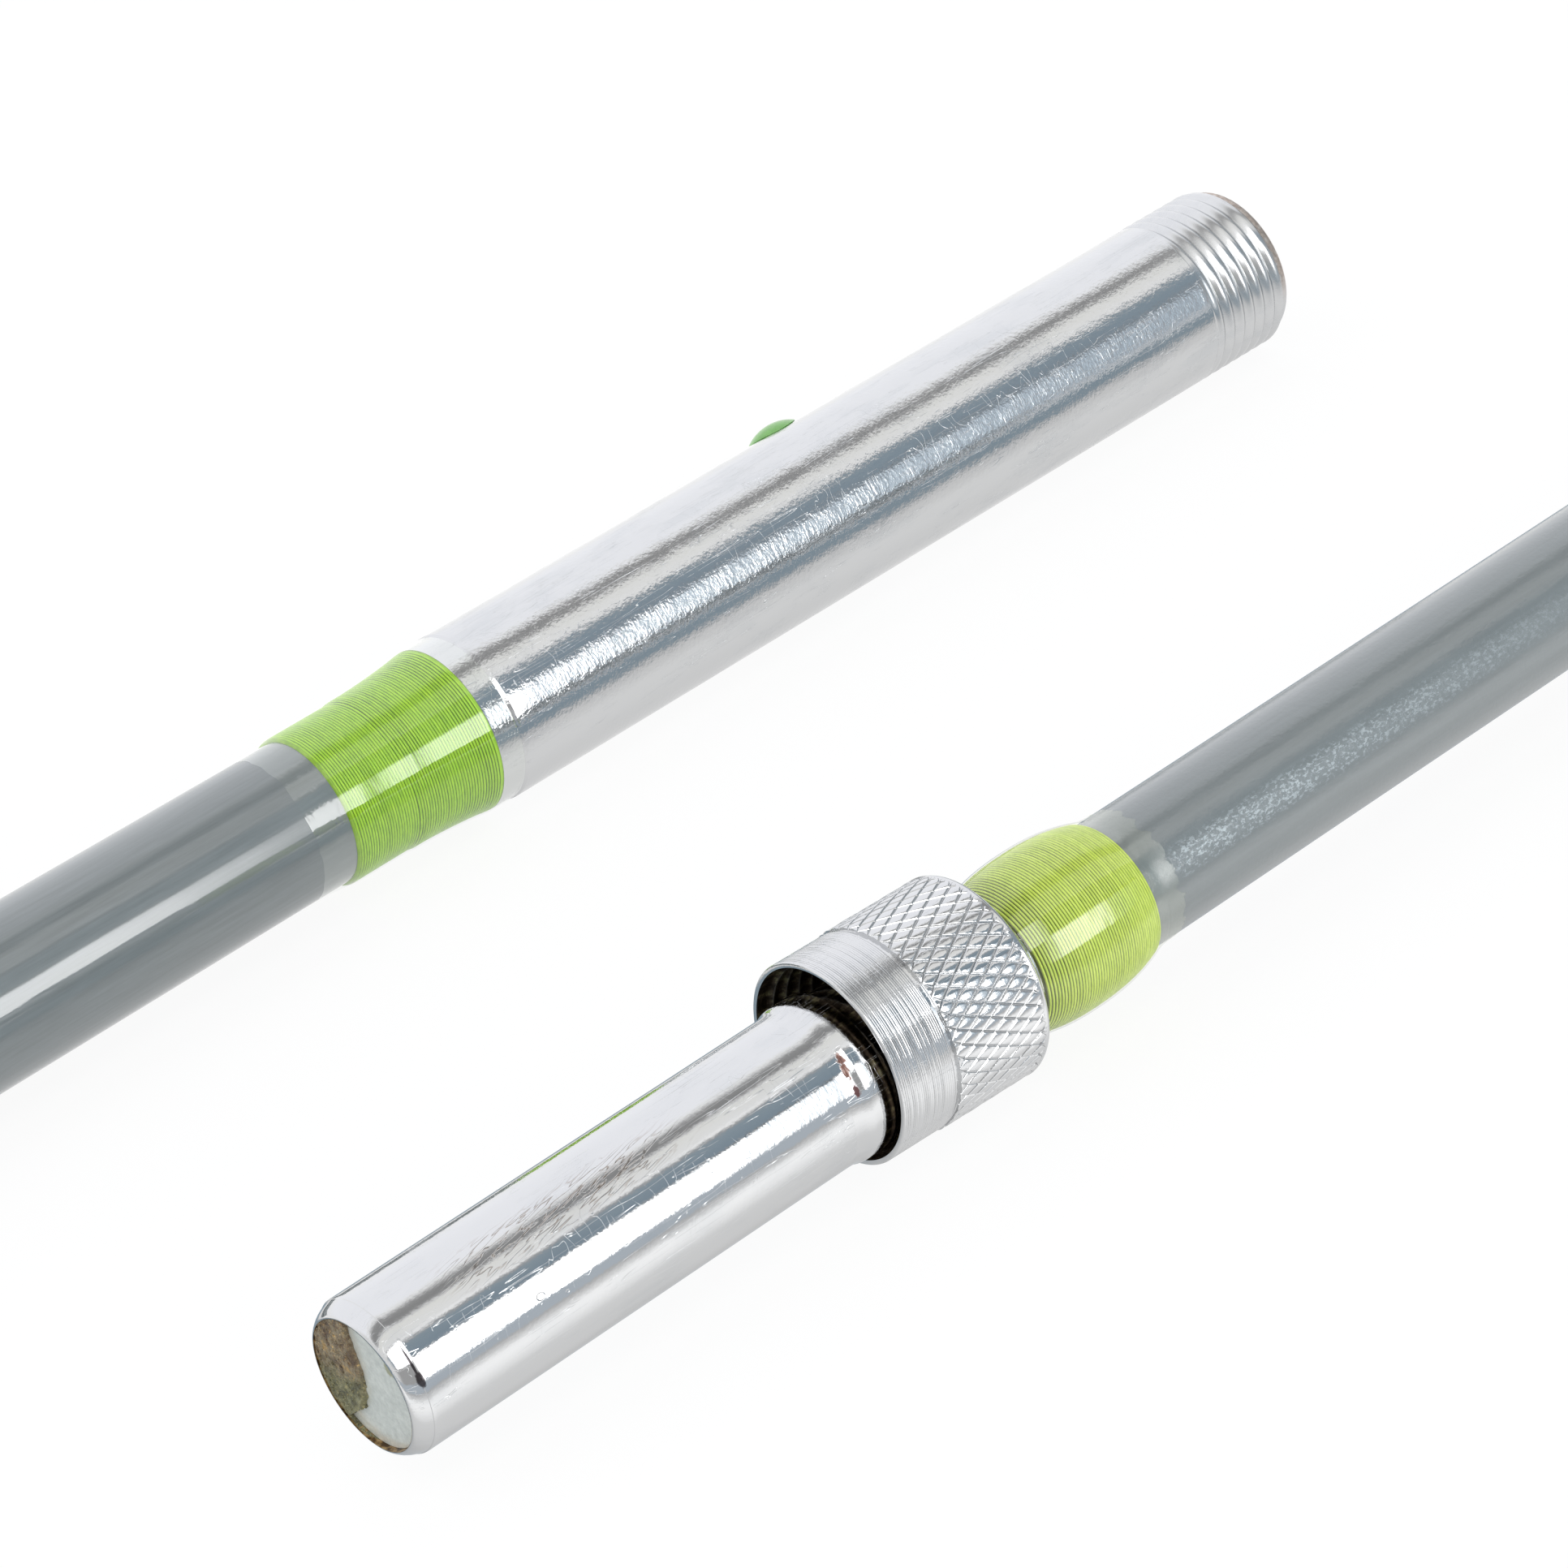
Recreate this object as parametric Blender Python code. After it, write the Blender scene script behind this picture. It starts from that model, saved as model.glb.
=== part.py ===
# Screw-lock joint of a two-piece fishing rod, its two halves laid apart side by side.
#
# The butt section ends in a socket tube with an outside thread at its mouth.
# The tip section ends in a plug, and carries a captive lock collar whose
# inside thread draws the plug home into the socket.
# Both rods lie along X, +Z is up and the table is the plane Z = 0. The socket
# opens to +X and the plug points to -X. The origin lies under the middle of
# the whole joint. All lengths are in metres.

import math

import bmesh
import bpy
from mathutils import Vector

# Roundness of every turned piece
ROUND_SIDES = 36

# Clearances between pieces
BOND_GAP = 0.00002
SEAT_GAP = 0.00010
RUNNING_GAP = 0.00006

# Where the two sections lie
AXIS_SPACING = 0.0548
PLUG_SETBACK = 0.12212

# Socket tube
TUBE_RADIUS = 0.00600
TUBE_LENGTH = 0.0794
TUBE_WALL = 0.00105
SOCKET_BORE_RADIUS = TUBE_RADIUS - TUBE_WALL
SKIRT_LENGTH = 0.0063
SKIRT_EDGE_WALL = 0.00021
SKIRT_EDGE_RADIUS = SOCKET_BORE_RADIUS + SKIRT_EDGE_WALL
SKIRT_TOP_STEP = 0.00045
SKIRT_TOP_RADIUS = TUBE_RADIUS - SKIRT_TOP_STEP
BAND_LENGTH = 0.0018
BAND_STEP = 0.00014
BAND_RADIUS = TUBE_RADIUS - BAND_STEP
MOUTH_LIP_LENGTH = 0.00065
MOUTH_LIP_STEP = 0.00060
MOUTH_LIP_RADIUS = TUBE_RADIUS - MOUTH_LIP_STEP
BORE_CHAMFER = 0.00015
WATER_PLUG_THICKNESS = 0.0010

# Butt rod, a solid glass-fibre blank that thickens towards the hand
BUTT_BLANK_STEP = 0.00012
BUTT_BLANK_RADIUS = SOCKET_BORE_RADIUS + BUTT_BLANK_STEP
BUTT_BLANK_TAPER = 0.0047
BUTT_BLANK_LENGTH = 0.0537
BUTT_TENON_LENGTH = 0.0418

# Screw thread that the tube and the collar share
THREAD_PITCH = 0.0010
THREAD_TURNS = 6
THREAD_RUN_OUT = 0.00005
TUBE_THREAD_DEPTH = 0.00030
COLLAR_THREAD_DEPTH = 0.00031
THREAD_CLEARANCE = 0.00006

# Cement in both glue lines
CEMENT_THICKNESS = 0.00010

# Index bead of green enamel on the tube
BEAD_SETBACK = 0.0398
BEAD_RADIUS = 0.00195
BEAD_HEIGHT = 0.00065
BEAD_ANGLE = math.radians(51.0)
BEAD_EDGE = 0.00003

# Socket whipping and the clear coat over it
SOCKET_WRAP_THREAD = 0.00020
SOCKET_COAT = 0.00013
SOCKET_WRAP_LEAD = 0.0061
SOCKET_COAT_LEAD = 0.0019
SOCKET_COAT_OVERLAP = 0.0009
SOCKET_COAT_RISE = 0.00076
COAT_FEATHER = 0.00004
WRAP_RAMP = 0.0004

# Plug tube with its shoulder ring, sized from the socket that it slides into
PLUG_FIT = 0.00009
PLUG_RADIUS = SOCKET_BORE_RADIUS - PLUG_FIT
PLUG_LENGTH = 0.0347
PLUG_WALL = 0.00062
PLUG_BORE_RADIUS = PLUG_RADIUS - PLUG_WALL
PLUG_END_ROUND = 0.0010
PLUG_END_RECESS = 0.0007
PLUG_LIP_THICKNESS = 0.00035
FERRULE_STEP = 0.00030
FERRULE_RADIUS = PLUG_RADIUS - FERRULE_STEP
FERRULE_LENGTH = 0.0115
TAIL_WALL = 0.00014
TAIL_RADIUS = PLUG_BORE_RADIUS + TAIL_WALL
TAIL_EDGE_WALL = 0.00006
TAIL_EDGE_RADIUS = PLUG_BORE_RADIUS + TAIL_EDGE_WALL
TAIL_LENGTH = 0.0054
SHOULDER_FLARE = 0.00022
SHOULDER_RADIUS = PLUG_RADIUS + SHOULDER_FLARE
SHOULDER_LENGTH = 0.0034
SHOULDER_LAND = 0.0011
SHOULDER_EDGE = 0.00003

# Tip rod, a solid glass-fibre blank
TIP_TENON_RADIUS = PLUG_BORE_RADIUS - CEMENT_THICKNESS - 2.0 * BOND_GAP
TIP_BLANK_STEP = 0.00017
TIP_BLANK_RADIUS = TIP_TENON_RADIUS + TIP_BLANK_STEP
TIP_BLANK_LENGTH = 0.0726

# Old cement on the plug's end
RESIDUE_MARGIN = 0.00040
RESIDUE_RADIUS = TIP_TENON_RADIUS - RESIDUE_MARGIN
RESIDUE_THICKNESS = 0.00030
RESIDUE_CHORD = 0.0004

# Lock collar, which hangs loose on the tip section
COLLAR_LENGTH = 0.0114
COLLAR_NECK_WALL = 0.00043
COLLAR_NECK_RADIUS = TUBE_RADIUS + COLLAR_NECK_WALL
COLLAR_NECK_LENGTH = 0.0040
COLLAR_GROOVE_WIDTH = 0.00025
COLLAR_GROOVE_DEPTH = 0.00012
COLLAR_KNURL_WALL = 0.00055
COLLAR_KNURL_RADIUS = TUBE_RADIUS + COLLAR_KNURL_WALL
COLLAR_BACK_ROUND = 0.0006
COLLAR_EDGE = 0.00006
COLLAR_COUNTERSINK = 0.00020
COLLAR_COUNTERSINK_STEP = 0.00005
COLLAR_FLANGE_THICKNESS = 0.0015
COLLAR_FLANGE_PLAY = 0.00041
COLLAR_FLANGE_BORE = FERRULE_RADIUS + COLLAR_FLANGE_PLAY
COLLAR_OVERHANG = 0.0002
COLLAR_SETBACK = PLUG_LENGTH - COLLAR_OVERHANG
COLLAR_MOUTH_SHIFT = (0.00020, 0.00060)
COLLAR_BACK_SHIFT = (0.00009, 0.00026)

# Thrust ring between the collar's flange and the shoulder
RING_THICKNESS = 0.0008
RING_STEP = 0.00055
RING_RADIUS = TUBE_RADIUS - RING_STEP
RING_PLAY = 0.00025

# Barrel-shaped whipping behind the collar
BARREL_BUILD = 0.00075
BARREL_RADIUS = FERRULE_RADIUS + BARREL_BUILD
BARREL_DROP = 0.00066
BARREL_POWER = 2.4
BARREL_HALF_LENGTH = 0.0046
BARREL_FRONT_GAP = 0.0013
TIP_WRAP_THREAD = 0.00020
TIP_COAT = 0.00016
TIP_COAT_LEAD = 0.0003
TIP_COAT_RUN = 0.0024
PACKING_INSET = 0.0007
PACKING_MIN = 0.00005
TAIL_RAMP = 0.0003

# Colour, metallic and roughness of each material
MATERIALS = {
    "grey glass fibre": ((0.36, 0.37, 0.36), 0.0, 0.28),
    "bright plated brass": ((0.78, 0.79, 0.80), 1.0, 0.16),
    "brass": ((0.72, 0.55, 0.28), 1.0, 0.35),
    "blackened steel": ((0.20, 0.19, 0.18), 1.0, 0.45),
    "amber cement": ((0.45, 0.27, 0.10), 0.0, 0.55),
    "green thread": ((0.28, 0.55, 0.05), 0.0, 0.50),
    "yellow-green thread": ((0.42, 0.62, 0.12), 0.0, 0.50),
    "white cotton": ((0.80, 0.78, 0.72), 0.0, 0.90),
    "clear coat": ((0.85, 0.90, 0.82), 0.0, 0.08),
    "green enamel": ((0.20, 0.50, 0.12), 0.0, 0.20),
}


# Start from an empty file
def clear_scene():
    for item in list(bpy.data.objects):
        bpy.data.objects.remove(item, do_unlink=True)


# Material with its Principled values
def material(name):
    found = bpy.data.materials.get(name)
    if found:
        return found
    colour, metallic, roughness = MATERIALS[name]
    made = bpy.data.materials.new(name)
    made.use_nodes = True
    shader = made.node_tree.nodes["Principled BSDF"]
    shader.inputs["Base Color"].default_value = (*colour, 1.0)
    shader.inputs["Metallic"].default_value = metallic
    shader.inputs["Roughness"].default_value = roughness
    return made


# Object from a bmesh, shaded smooth up to its sharp edges
def finish(name, mesh_data, material_name, parent):
    bmesh.ops.recalc_face_normals(mesh_data, faces=mesh_data.faces)
    mesh = bpy.data.meshes.new(name)
    mesh_data.to_mesh(mesh)
    mesh_data.free()
    mesh.shade_smooth()
    mesh.set_sharp_from_angle(angle=math.radians(32.0))
    mesh.materials.append(material(material_name))
    made = bpy.data.objects.new(name, mesh)
    bpy.context.scene.collection.objects.link(made)
    made.parent = parent
    return made


# Empty that carries one section
def section(name):
    made = bpy.data.objects.new(name, None)
    bpy.context.scene.collection.objects.link(made)
    return made


# Spin an outline of (x, radius) points round the X axis
def spin_outline(mesh_data, outline, is_loop):
    corners = [mesh_data.verts.new((x, 0.0, radius)) for x, radius in outline]
    pairs = list(zip(corners, corners[1:]))
    if is_loop:
        pairs.append((corners[-1], corners[0]))
    edges = [mesh_data.edges.new(pair) for pair in pairs]
    bmesh.ops.spin(
        mesh_data,
        geom=corners + edges,
        cent=(0.0, 0.0, 0.0),
        axis=(1.0, 0.0, 0.0),
        angle=2.0 * math.pi,
        steps=ROUND_SIDES,
        use_merge=True,
    )
    bmesh.ops.remove_doubles(mesh_data, verts=mesh_data.verts, dist=1e-7)


# Solid of revolution whose outline starts and ends on the axis
def turned_solid(name, outline, material_name, parent):
    mesh_data = bmesh.new()
    spin_outline(mesh_data, outline, is_loop=False)
    return finish(name, mesh_data, material_name, parent)


# Sleeve between an outer and an inner outline, both given from -X to +X
def turned_sleeve(name, outer, inner, material_name, parent):
    mesh_data = bmesh.new()
    spin_outline(mesh_data, outer + inner[::-1], is_loop=True)
    return finish(name, mesh_data, material_name, parent)


# Point on the circle of a turned piece, matching the spin's own steps
def round_point(x, radius, side):
    angle = 2.0 * math.pi * side / ROUND_SIDES
    return Vector((x, -radius * math.sin(angle), radius * math.cos(angle)))


# Height of the thread's ridge, which fades over its first and last quarter turn
def ridge_share(turn):
    fade = 0.25
    least = 0.12
    return max(least, min(1.0, turn / fade, (THREAD_TURNS - turn) / fade))


# Screw thread from one rim to another, each rim a full circle of vertices
def add_thread(mesh_data, x_start, root_radius, crest_radius):
    rows = 4 * THREAD_TURNS
    grid = []
    for side in range(ROUND_SIDES):
        column = []
        for row in range(rows):
            turn = row // 4 + side / ROUND_SIDES
            x = x_start + THREAD_RUN_OUT + THREAD_PITCH * (row / 4 + side / ROUND_SIDES)
            is_crest = row % 4 in (1, 2)
            share = ridge_share(turn) if is_crest else 0.0
            radius = root_radius + (crest_radius - root_radius) * share
            column.append(mesh_data.verts.new(round_point(x, radius, side)))
        grid.append(column)
    x_end = x_start + thread_length()
    first = [mesh_data.verts.new(round_point(x_start, root_radius, s)) for s in range(ROUND_SIDES)]
    last = [mesh_data.verts.new(round_point(x_end, root_radius, s)) for s in range(ROUND_SIDES)]
    columns = [[first[s]] + grid[s] + [last[s]] for s in range(ROUND_SIDES)]
    for left, right in zip(columns, columns[1:]):
        for row in range(rows + 1):
            mesh_data.faces.new((left[row], right[row], right[row + 1], left[row + 1]))
    left = grid[-1]
    right = grid[0]
    for row in range(rows - 5):
        mesh_data.faces.new((left[row], right[row + 4], right[row + 5], left[row + 1]))
    start_fan = [first[-1], first[0]] + right[:5]
    for low, high in zip(start_fan, start_fan[1:]):
        mesh_data.faces.new((left[0], low, high))
    end_fan = left[rows - 5:] + [last[-1], last[0]]
    for low, high in zip(end_fan, end_fan[1:]):
        mesh_data.faces.new((right[-1], high, low))


# Length that the thread takes along the axis, run-outs included
def thread_length():
    ridge = THREAD_PITCH * (THREAD_TURNS - 0.25 + (ROUND_SIDES - 1) / ROUND_SIDES)
    return ridge + 2.0 * THREAD_RUN_OUT


# Turned piece with a thread from the end of its open outline back to the start
def threaded_piece(name, outline, x_start, root_radius, crest_radius, material_name, parent):
    mesh_data = bmesh.new()
    spin_outline(mesh_data, outline, is_loop=False)
    add_thread(mesh_data, x_start, root_radius, crest_radius)
    bmesh.ops.remove_doubles(mesh_data, verts=mesh_data.verts, dist=1e-7)
    return finish(name, mesh_data, material_name, parent)


# Points of a quarter round from (x, radius) of its flat side to its round side
def quarter_round(x_flat, x_round, radius_low, radius_high, steps):
    points = []
    for step in range(steps + 1):
        angle = 0.5 * math.pi * step / steps
        x = x_round + (x_flat - x_round) * math.cos(angle)
        radius = radius_low + (radius_high - radius_low) * math.sin(angle)
        points.append((x, radius))
    return points


# Outline moved outwards by one distance
def lifted(outline, distance):
    return [(x, radius + distance) for x, radius in outline]


# Places along the butt section, measured from the socket's mouth
TUBE_REAR = -TUBE_LENGTH
SKIRT_TOP = TUBE_REAR + SKIRT_LENGTH
BAND_END = SKIRT_TOP + BAND_LENGTH
TENON_END = TUBE_REAR + BUTT_TENON_LENGTH
BUTT_END = TUBE_REAR - BUTT_BLANK_LENGTH
SOCKET_TENON_RADIUS = SOCKET_BORE_RADIUS - CEMENT_THICKNESS - 2.0 * BOND_GAP

# Places along the tip section, measured from the plug's end
FERRULE_END = PLUG_LENGTH + FERRULE_LENGTH
TAIL_END = FERRULE_END + TAIL_LENGTH
TIP_END = TAIL_END + TIP_BLANK_LENGTH
WRAP_FRONT = COLLAR_SETBACK + COLLAR_LENGTH + BARREL_FRONT_GAP
BARREL_MIDDLE = WRAP_FRONT + BARREL_HALF_LENGTH
WRAP_BACK = BARREL_MIDDLE + BARREL_HALF_LENGTH


# Radius of the butt blank at a place behind the tube
def butt_blank_radius(x):
    return BUTT_BLANK_RADIUS + BUTT_BLANK_TAPER * (TUBE_REAR - x)


# Flared skirt of the tube, from its thin edge up to the turned band
def skirt_outline():
    steps = 4
    points = []
    for step in range(steps + 1):
        share = step / steps
        radius = SKIRT_EDGE_RADIUS + (SKIRT_TOP_RADIUS - SKIRT_EDGE_RADIUS) * share ** 2
        points.append((TUBE_REAR + SKIRT_LENGTH * share, radius))
    return points


def make_butt_blank(parent):
    shoulder = TUBE_REAR - SEAT_GAP
    outline = [
        (BUTT_END, 0.0),
        (BUTT_END, butt_blank_radius(BUTT_END)),
        (shoulder, butt_blank_radius(shoulder)),
        (shoulder, SOCKET_TENON_RADIUS),
        (TENON_END, SOCKET_TENON_RADIUS),
        (TENON_END, 0.0),
    ]
    return turned_solid("butt_blank", outline, "grey glass fibre", parent)


def make_butt_cement(parent):
    ends = (TUBE_REAR + SEAT_GAP, TENON_END - SEAT_GAP)
    inner = [(x, SOCKET_TENON_RADIUS + BOND_GAP) for x in ends]
    outer = lifted(inner, CEMENT_THICKNESS)
    return turned_sleeve("butt_cement", outer, inner, "amber cement", parent)


def make_socket_tube(parent):
    thread_end = -MOUTH_LIP_LENGTH
    thread_start = thread_end - thread_length()
    root = TUBE_RADIUS - TUBE_THREAD_DEPTH
    outline = [(thread_end, root)]
    outline += lip_outline(thread_end, root)
    outline += [
        (0.0, SOCKET_BORE_RADIUS + BORE_CHAMFER),
        (-BORE_CHAMFER, SOCKET_BORE_RADIUS),
        (TUBE_REAR, SOCKET_BORE_RADIUS),
    ]
    outline += skirt_outline()
    outline += [
        (SKIRT_TOP, BAND_RADIUS),
        (BAND_END, BAND_RADIUS),
        (BAND_END, TUBE_RADIUS),
        (thread_start - TUBE_THREAD_DEPTH, TUBE_RADIUS),
        (thread_start, root),
    ]
    return threaded_piece(
        "socket_tube", outline, thread_start, root, TUBE_RADIUS, "bright plated brass", parent
    )


# Rounded lip between the thread and the tube's flat mouth
def lip_outline(x_thread, root):
    steps = 4
    points = []
    for step in range(1, steps + 1):
        angle = 0.5 * math.pi * step / steps
        x = x_thread * (1.0 - math.sin(angle))
        radius = MOUTH_LIP_RADIUS + (root - MOUTH_LIP_RADIUS) * math.cos(angle)
        points.append((x, radius))
    return points


def make_water_plug(parent):
    back = TENON_END + SEAT_GAP
    front = back + WATER_PLUG_THICKNESS
    radius = SOCKET_BORE_RADIUS - BOND_GAP
    outline = [(back, 0.0), (back, radius), (front, radius), (front, 0.0)]
    return turned_solid("water_plug", outline, "brass", parent)


# Low dome that follows the tube's round surface
def make_index_bead(parent):
    rings = 5
    sides = 24
    seat = TUBE_RADIUS + BOND_GAP
    mesh_data = bmesh.new()

    def bead_point(share, side, height):
        turn = 2.0 * math.pi * side / sides
        along = BEAD_RADIUS * share * math.cos(turn)
        angle = BEAD_ANGLE + BEAD_RADIUS * share * math.sin(turn) / seat
        radius = seat + height
        place = (along - BEAD_SETBACK, radius * math.cos(angle), radius * math.sin(angle))
        return mesh_data.verts.new(place)

    def surface(is_top):
        levels = []
        for ring in range(1, rings + 1):
            share = ring / rings
            height = BEAD_EDGE + (BEAD_HEIGHT - BEAD_EDGE) * (1.0 - share ** 2) if is_top else 0.0
            levels.append([bead_point(share, side, height) for side in range(sides)])
        middle = bead_point(0.0, 0, BEAD_HEIGHT if is_top else 0.0)
        for side in range(sides):
            after = (side + 1) % sides
            mesh_data.faces.new((middle, levels[0][side], levels[0][after]))
            for inner, outer in zip(levels, levels[1:]):
                mesh_data.faces.new((inner[side], outer[side], outer[after], inner[after]))
        return levels[-1]

    top = surface(True)
    bottom = surface(False)
    for side in range(sides):
        after = (side + 1) % sides
        mesh_data.faces.new((top[side], bottom[side], bottom[after], top[after]))
    return finish("index_bead", mesh_data, "green enamel", parent)


# Surface under the socket whipping, from the bare blank up the tube's skirt
def socket_wrap_bed():
    start = TUBE_REAR - SOCKET_WRAP_LEAD
    ramp = TUBE_REAR - WRAP_RAMP
    bed = [(start, butt_blank_radius(start)), (ramp, butt_blank_radius(ramp))]
    skirt = skirt_outline()
    last = skirt.pop()
    skirt.append((last[0] - SEAT_GAP, last[1]))
    return bed + skirt


def make_socket_whipping(parent):
    inner = lifted(socket_wrap_bed(), BOND_GAP)
    outer = lifted(inner, SOCKET_WRAP_THREAD)
    return turned_sleeve("socket_whipping", outer, inner, "green thread", parent)


# Clear coat over the thread, run out on the blank and over the turned band
def make_socket_coat(parent):
    wrap = lifted(socket_wrap_bed(), 2.0 * BOND_GAP + SOCKET_WRAP_THREAD)
    start = wrap[0][0] - SOCKET_COAT_LEAD
    edge = wrap[0][0] - SEAT_GAP
    blank_start = butt_blank_radius(start) + BOND_GAP
    blank_edge = butt_blank_radius(edge) + BOND_GAP
    band_side = SKIRT_TOP - 0.5 * SEAT_GAP
    coat_end = BAND_END + SOCKET_COAT_OVERLAP
    band = BAND_RADIUS + BOND_GAP
    tube = TUBE_RADIUS + BOND_GAP
    inner = [(start, blank_start), (edge, blank_edge), (edge, wrap[0][1])]
    inner += wrap[1:-1]
    inner += [
        (wrap[-1][0], wrap[-1][1]),
        (band_side, max(wrap[-1][1], band)),
        (BAND_END - SEAT_GAP, band),
        (BAND_END - SEAT_GAP, tube),
        (coat_end, tube),
    ]
    outer = [
        (start, blank_start + COAT_FEATHER),
        (start + SOCKET_COAT_RISE, blank_start + SOCKET_COAT),
        (edge, wrap[0][1] + SOCKET_COAT),
    ]
    outer += lifted(wrap[1:-1], SOCKET_COAT)
    outer += [
        (band_side, max(wrap[-1][1], band) + SOCKET_COAT),
        (BAND_END, tube + COAT_FEATHER),
        (coat_end, tube + COAT_FEATHER),
    ]
    return turned_sleeve("socket_whipping_coat", outer, inner, "clear coat", parent)


def make_tip_blank(parent):
    shoulder = TAIL_END + SEAT_GAP
    outline = [
        (PLUG_END_RECESS, 0.0),
        (PLUG_END_RECESS, TIP_TENON_RADIUS),
        (shoulder, TIP_TENON_RADIUS),
        (shoulder, TIP_BLANK_RADIUS),
        (TIP_END, TIP_BLANK_RADIUS),
        (TIP_END, 0.0),
    ]
    return turned_solid("tip_blank", outline, "grey glass fibre", parent)


def make_tip_cement(parent):
    ends = (PLUG_END_RECESS + SEAT_GAP, TAIL_END - SEAT_GAP)
    inner = [(x, TIP_TENON_RADIUS + BOND_GAP) for x in ends]
    outer = lifted(inner, CEMENT_THICKNESS)
    return turned_sleeve("tip_cement", outer, inner, "amber cement", parent)


def make_plug_tube(parent):
    lip_radius = TIP_TENON_RADIUS + BOND_GAP
    outer = quarter_round(0.0, PLUG_END_ROUND, lip_radius + BOND_GAP, PLUG_RADIUS, 6)
    outer += [
        (PLUG_LENGTH, PLUG_RADIUS),
        (PLUG_LENGTH, FERRULE_RADIUS),
        (FERRULE_END, FERRULE_RADIUS),
        (FERRULE_END, TAIL_RADIUS),
        (TAIL_END, TAIL_EDGE_RADIUS),
    ]
    inner = [
        (0.0, lip_radius),
        (PLUG_LIP_THICKNESS, lip_radius),
        (PLUG_LIP_THICKNESS, PLUG_BORE_RADIUS),
        (TAIL_END, PLUG_BORE_RADIUS),
    ]
    return turned_sleeve("plug_tube", outer, inner, "bright plated brass", parent)


# Ring on the plug's root, flared so that it stops in the socket's mouth
def make_stop_shoulder(parent):
    back = PLUG_LENGTH + SEAT_GAP
    front = back - SHOULDER_LENGTH
    land = back - SHOULDER_LAND
    seat = PLUG_RADIUS + BOND_GAP
    low = seat + SHOULDER_EDGE
    steps = 4
    outer = []
    for step in range(steps + 1):
        share = step / steps
        outer.append((front + (land - front) * share, low + (SHOULDER_RADIUS - low) * share ** 2))
    outer.append((back, SHOULDER_RADIUS))
    inner = [(front, seat), (back, seat)]
    return turned_sleeve("stop_shoulder", outer, inner, "bright plated brass", parent)


# Lump of old cement on one half of the plug's end
def make_end_residue(parent):
    back = PLUG_END_RECESS - 0.5 * SEAT_GAP
    reach = math.acos(RESIDUE_CHORD / RESIDUE_RADIUS)
    steps = 10
    mesh_data = bmesh.new()
    rim = []
    for step in range(steps + 1):
        angle = reach * (2.0 * step / steps - 1.0)
        place = (back, RESIDUE_RADIUS * math.cos(angle), RESIDUE_RADIUS * math.sin(angle))
        rim.append(mesh_data.verts.new(place))
    base = mesh_data.faces.new(rim)
    grown = bmesh.ops.extrude_face_region(mesh_data, geom=[base])
    top = [item for item in grown["geom"] if isinstance(item, bmesh.types.BMVert)]
    shrink = 1.0 - RESIDUE_THICKNESS / RESIDUE_RADIUS
    for corner in top:
        corner.co.x -= RESIDUE_THICKNESS
        corner.co.y *= shrink
        corner.co.z *= shrink
    return finish("plug_end_residue", mesh_data, "amber cement", parent)


def make_thrust_ring(parent):
    back = COLLAR_SETBACK + COLLAR_LENGTH - COLLAR_FLANGE_THICKNESS - RING_PLAY
    ends = (back - RING_THICKNESS, back)
    outer = [(x, RING_RADIUS) for x in ends]
    inner = [(x, FERRULE_RADIUS + RUNNING_GAP) for x in ends]
    return turned_sleeve("thrust_ring", outer, inner, "blackened steel", parent)


# Lock collar in its own frame, its mouth at the origin and its back towards +X
def make_lock_collar(parent):
    root = TUBE_RADIUS + THREAD_CLEARANCE
    crest = root - COLLAR_THREAD_DEPTH
    flange = COLLAR_LENGTH - COLLAR_FLANGE_THICKNESS
    thread_start = COLLAR_COUNTERSINK
    thread_end = thread_start + thread_length()
    groove = COLLAR_NECK_RADIUS - COLLAR_GROOVE_DEPTH
    knurl_start = COLLAR_NECK_LENGTH + COLLAR_GROOVE_WIDTH
    back_round = quarter_round(
        COLLAR_LENGTH,
        COLLAR_LENGTH - COLLAR_BACK_ROUND,
        COLLAR_KNURL_RADIUS - COLLAR_BACK_ROUND,
        COLLAR_KNURL_RADIUS,
        4,
    )
    outline = [
        (thread_end, root),
        (flange, root),
        (flange, COLLAR_FLANGE_BORE),
        (COLLAR_LENGTH - COLLAR_EDGE, COLLAR_FLANGE_BORE),
        (COLLAR_LENGTH, COLLAR_FLANGE_BORE + COLLAR_EDGE),
    ]
    outline += back_round
    outline += [
        (knurl_start + 2.0 * COLLAR_EDGE, COLLAR_KNURL_RADIUS),
        (knurl_start, groove),
        (COLLAR_NECK_LENGTH, groove),
        (COLLAR_NECK_LENGTH - COLLAR_EDGE, COLLAR_NECK_RADIUS),
        (COLLAR_EDGE, COLLAR_NECK_RADIUS),
        (0.0, COLLAR_NECK_RADIUS - COLLAR_EDGE),
        (0.0, root + COLLAR_COUNTERSINK_STEP),
        (thread_start, root),
    ]
    collar = threaded_piece(
        "lock_collar", outline, thread_start, root, crest, "bright plated brass", parent
    )
    mouth = Vector((COLLAR_SETBACK, *COLLAR_MOUTH_SHIFT))
    back = Vector((COLLAR_SETBACK + COLLAR_LENGTH, *COLLAR_BACK_SHIFT))
    collar.location = mouth
    collar.rotation_mode = "QUATERNION"
    collar.rotation_quaternion = Vector((1.0, 0.0, 0.0)).rotation_difference(back - mouth)
    return collar


# Radius of what lies under the barrel whipping
def tip_bed_radius(x):
    if x <= FERRULE_END:
        return FERRULE_RADIUS
    if x <= TAIL_END:
        share = (x - FERRULE_END) / TAIL_LENGTH
        return TAIL_RADIUS + (TAIL_EDGE_RADIUS - TAIL_RADIUS) * share
    return TIP_BLANK_RADIUS


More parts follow.
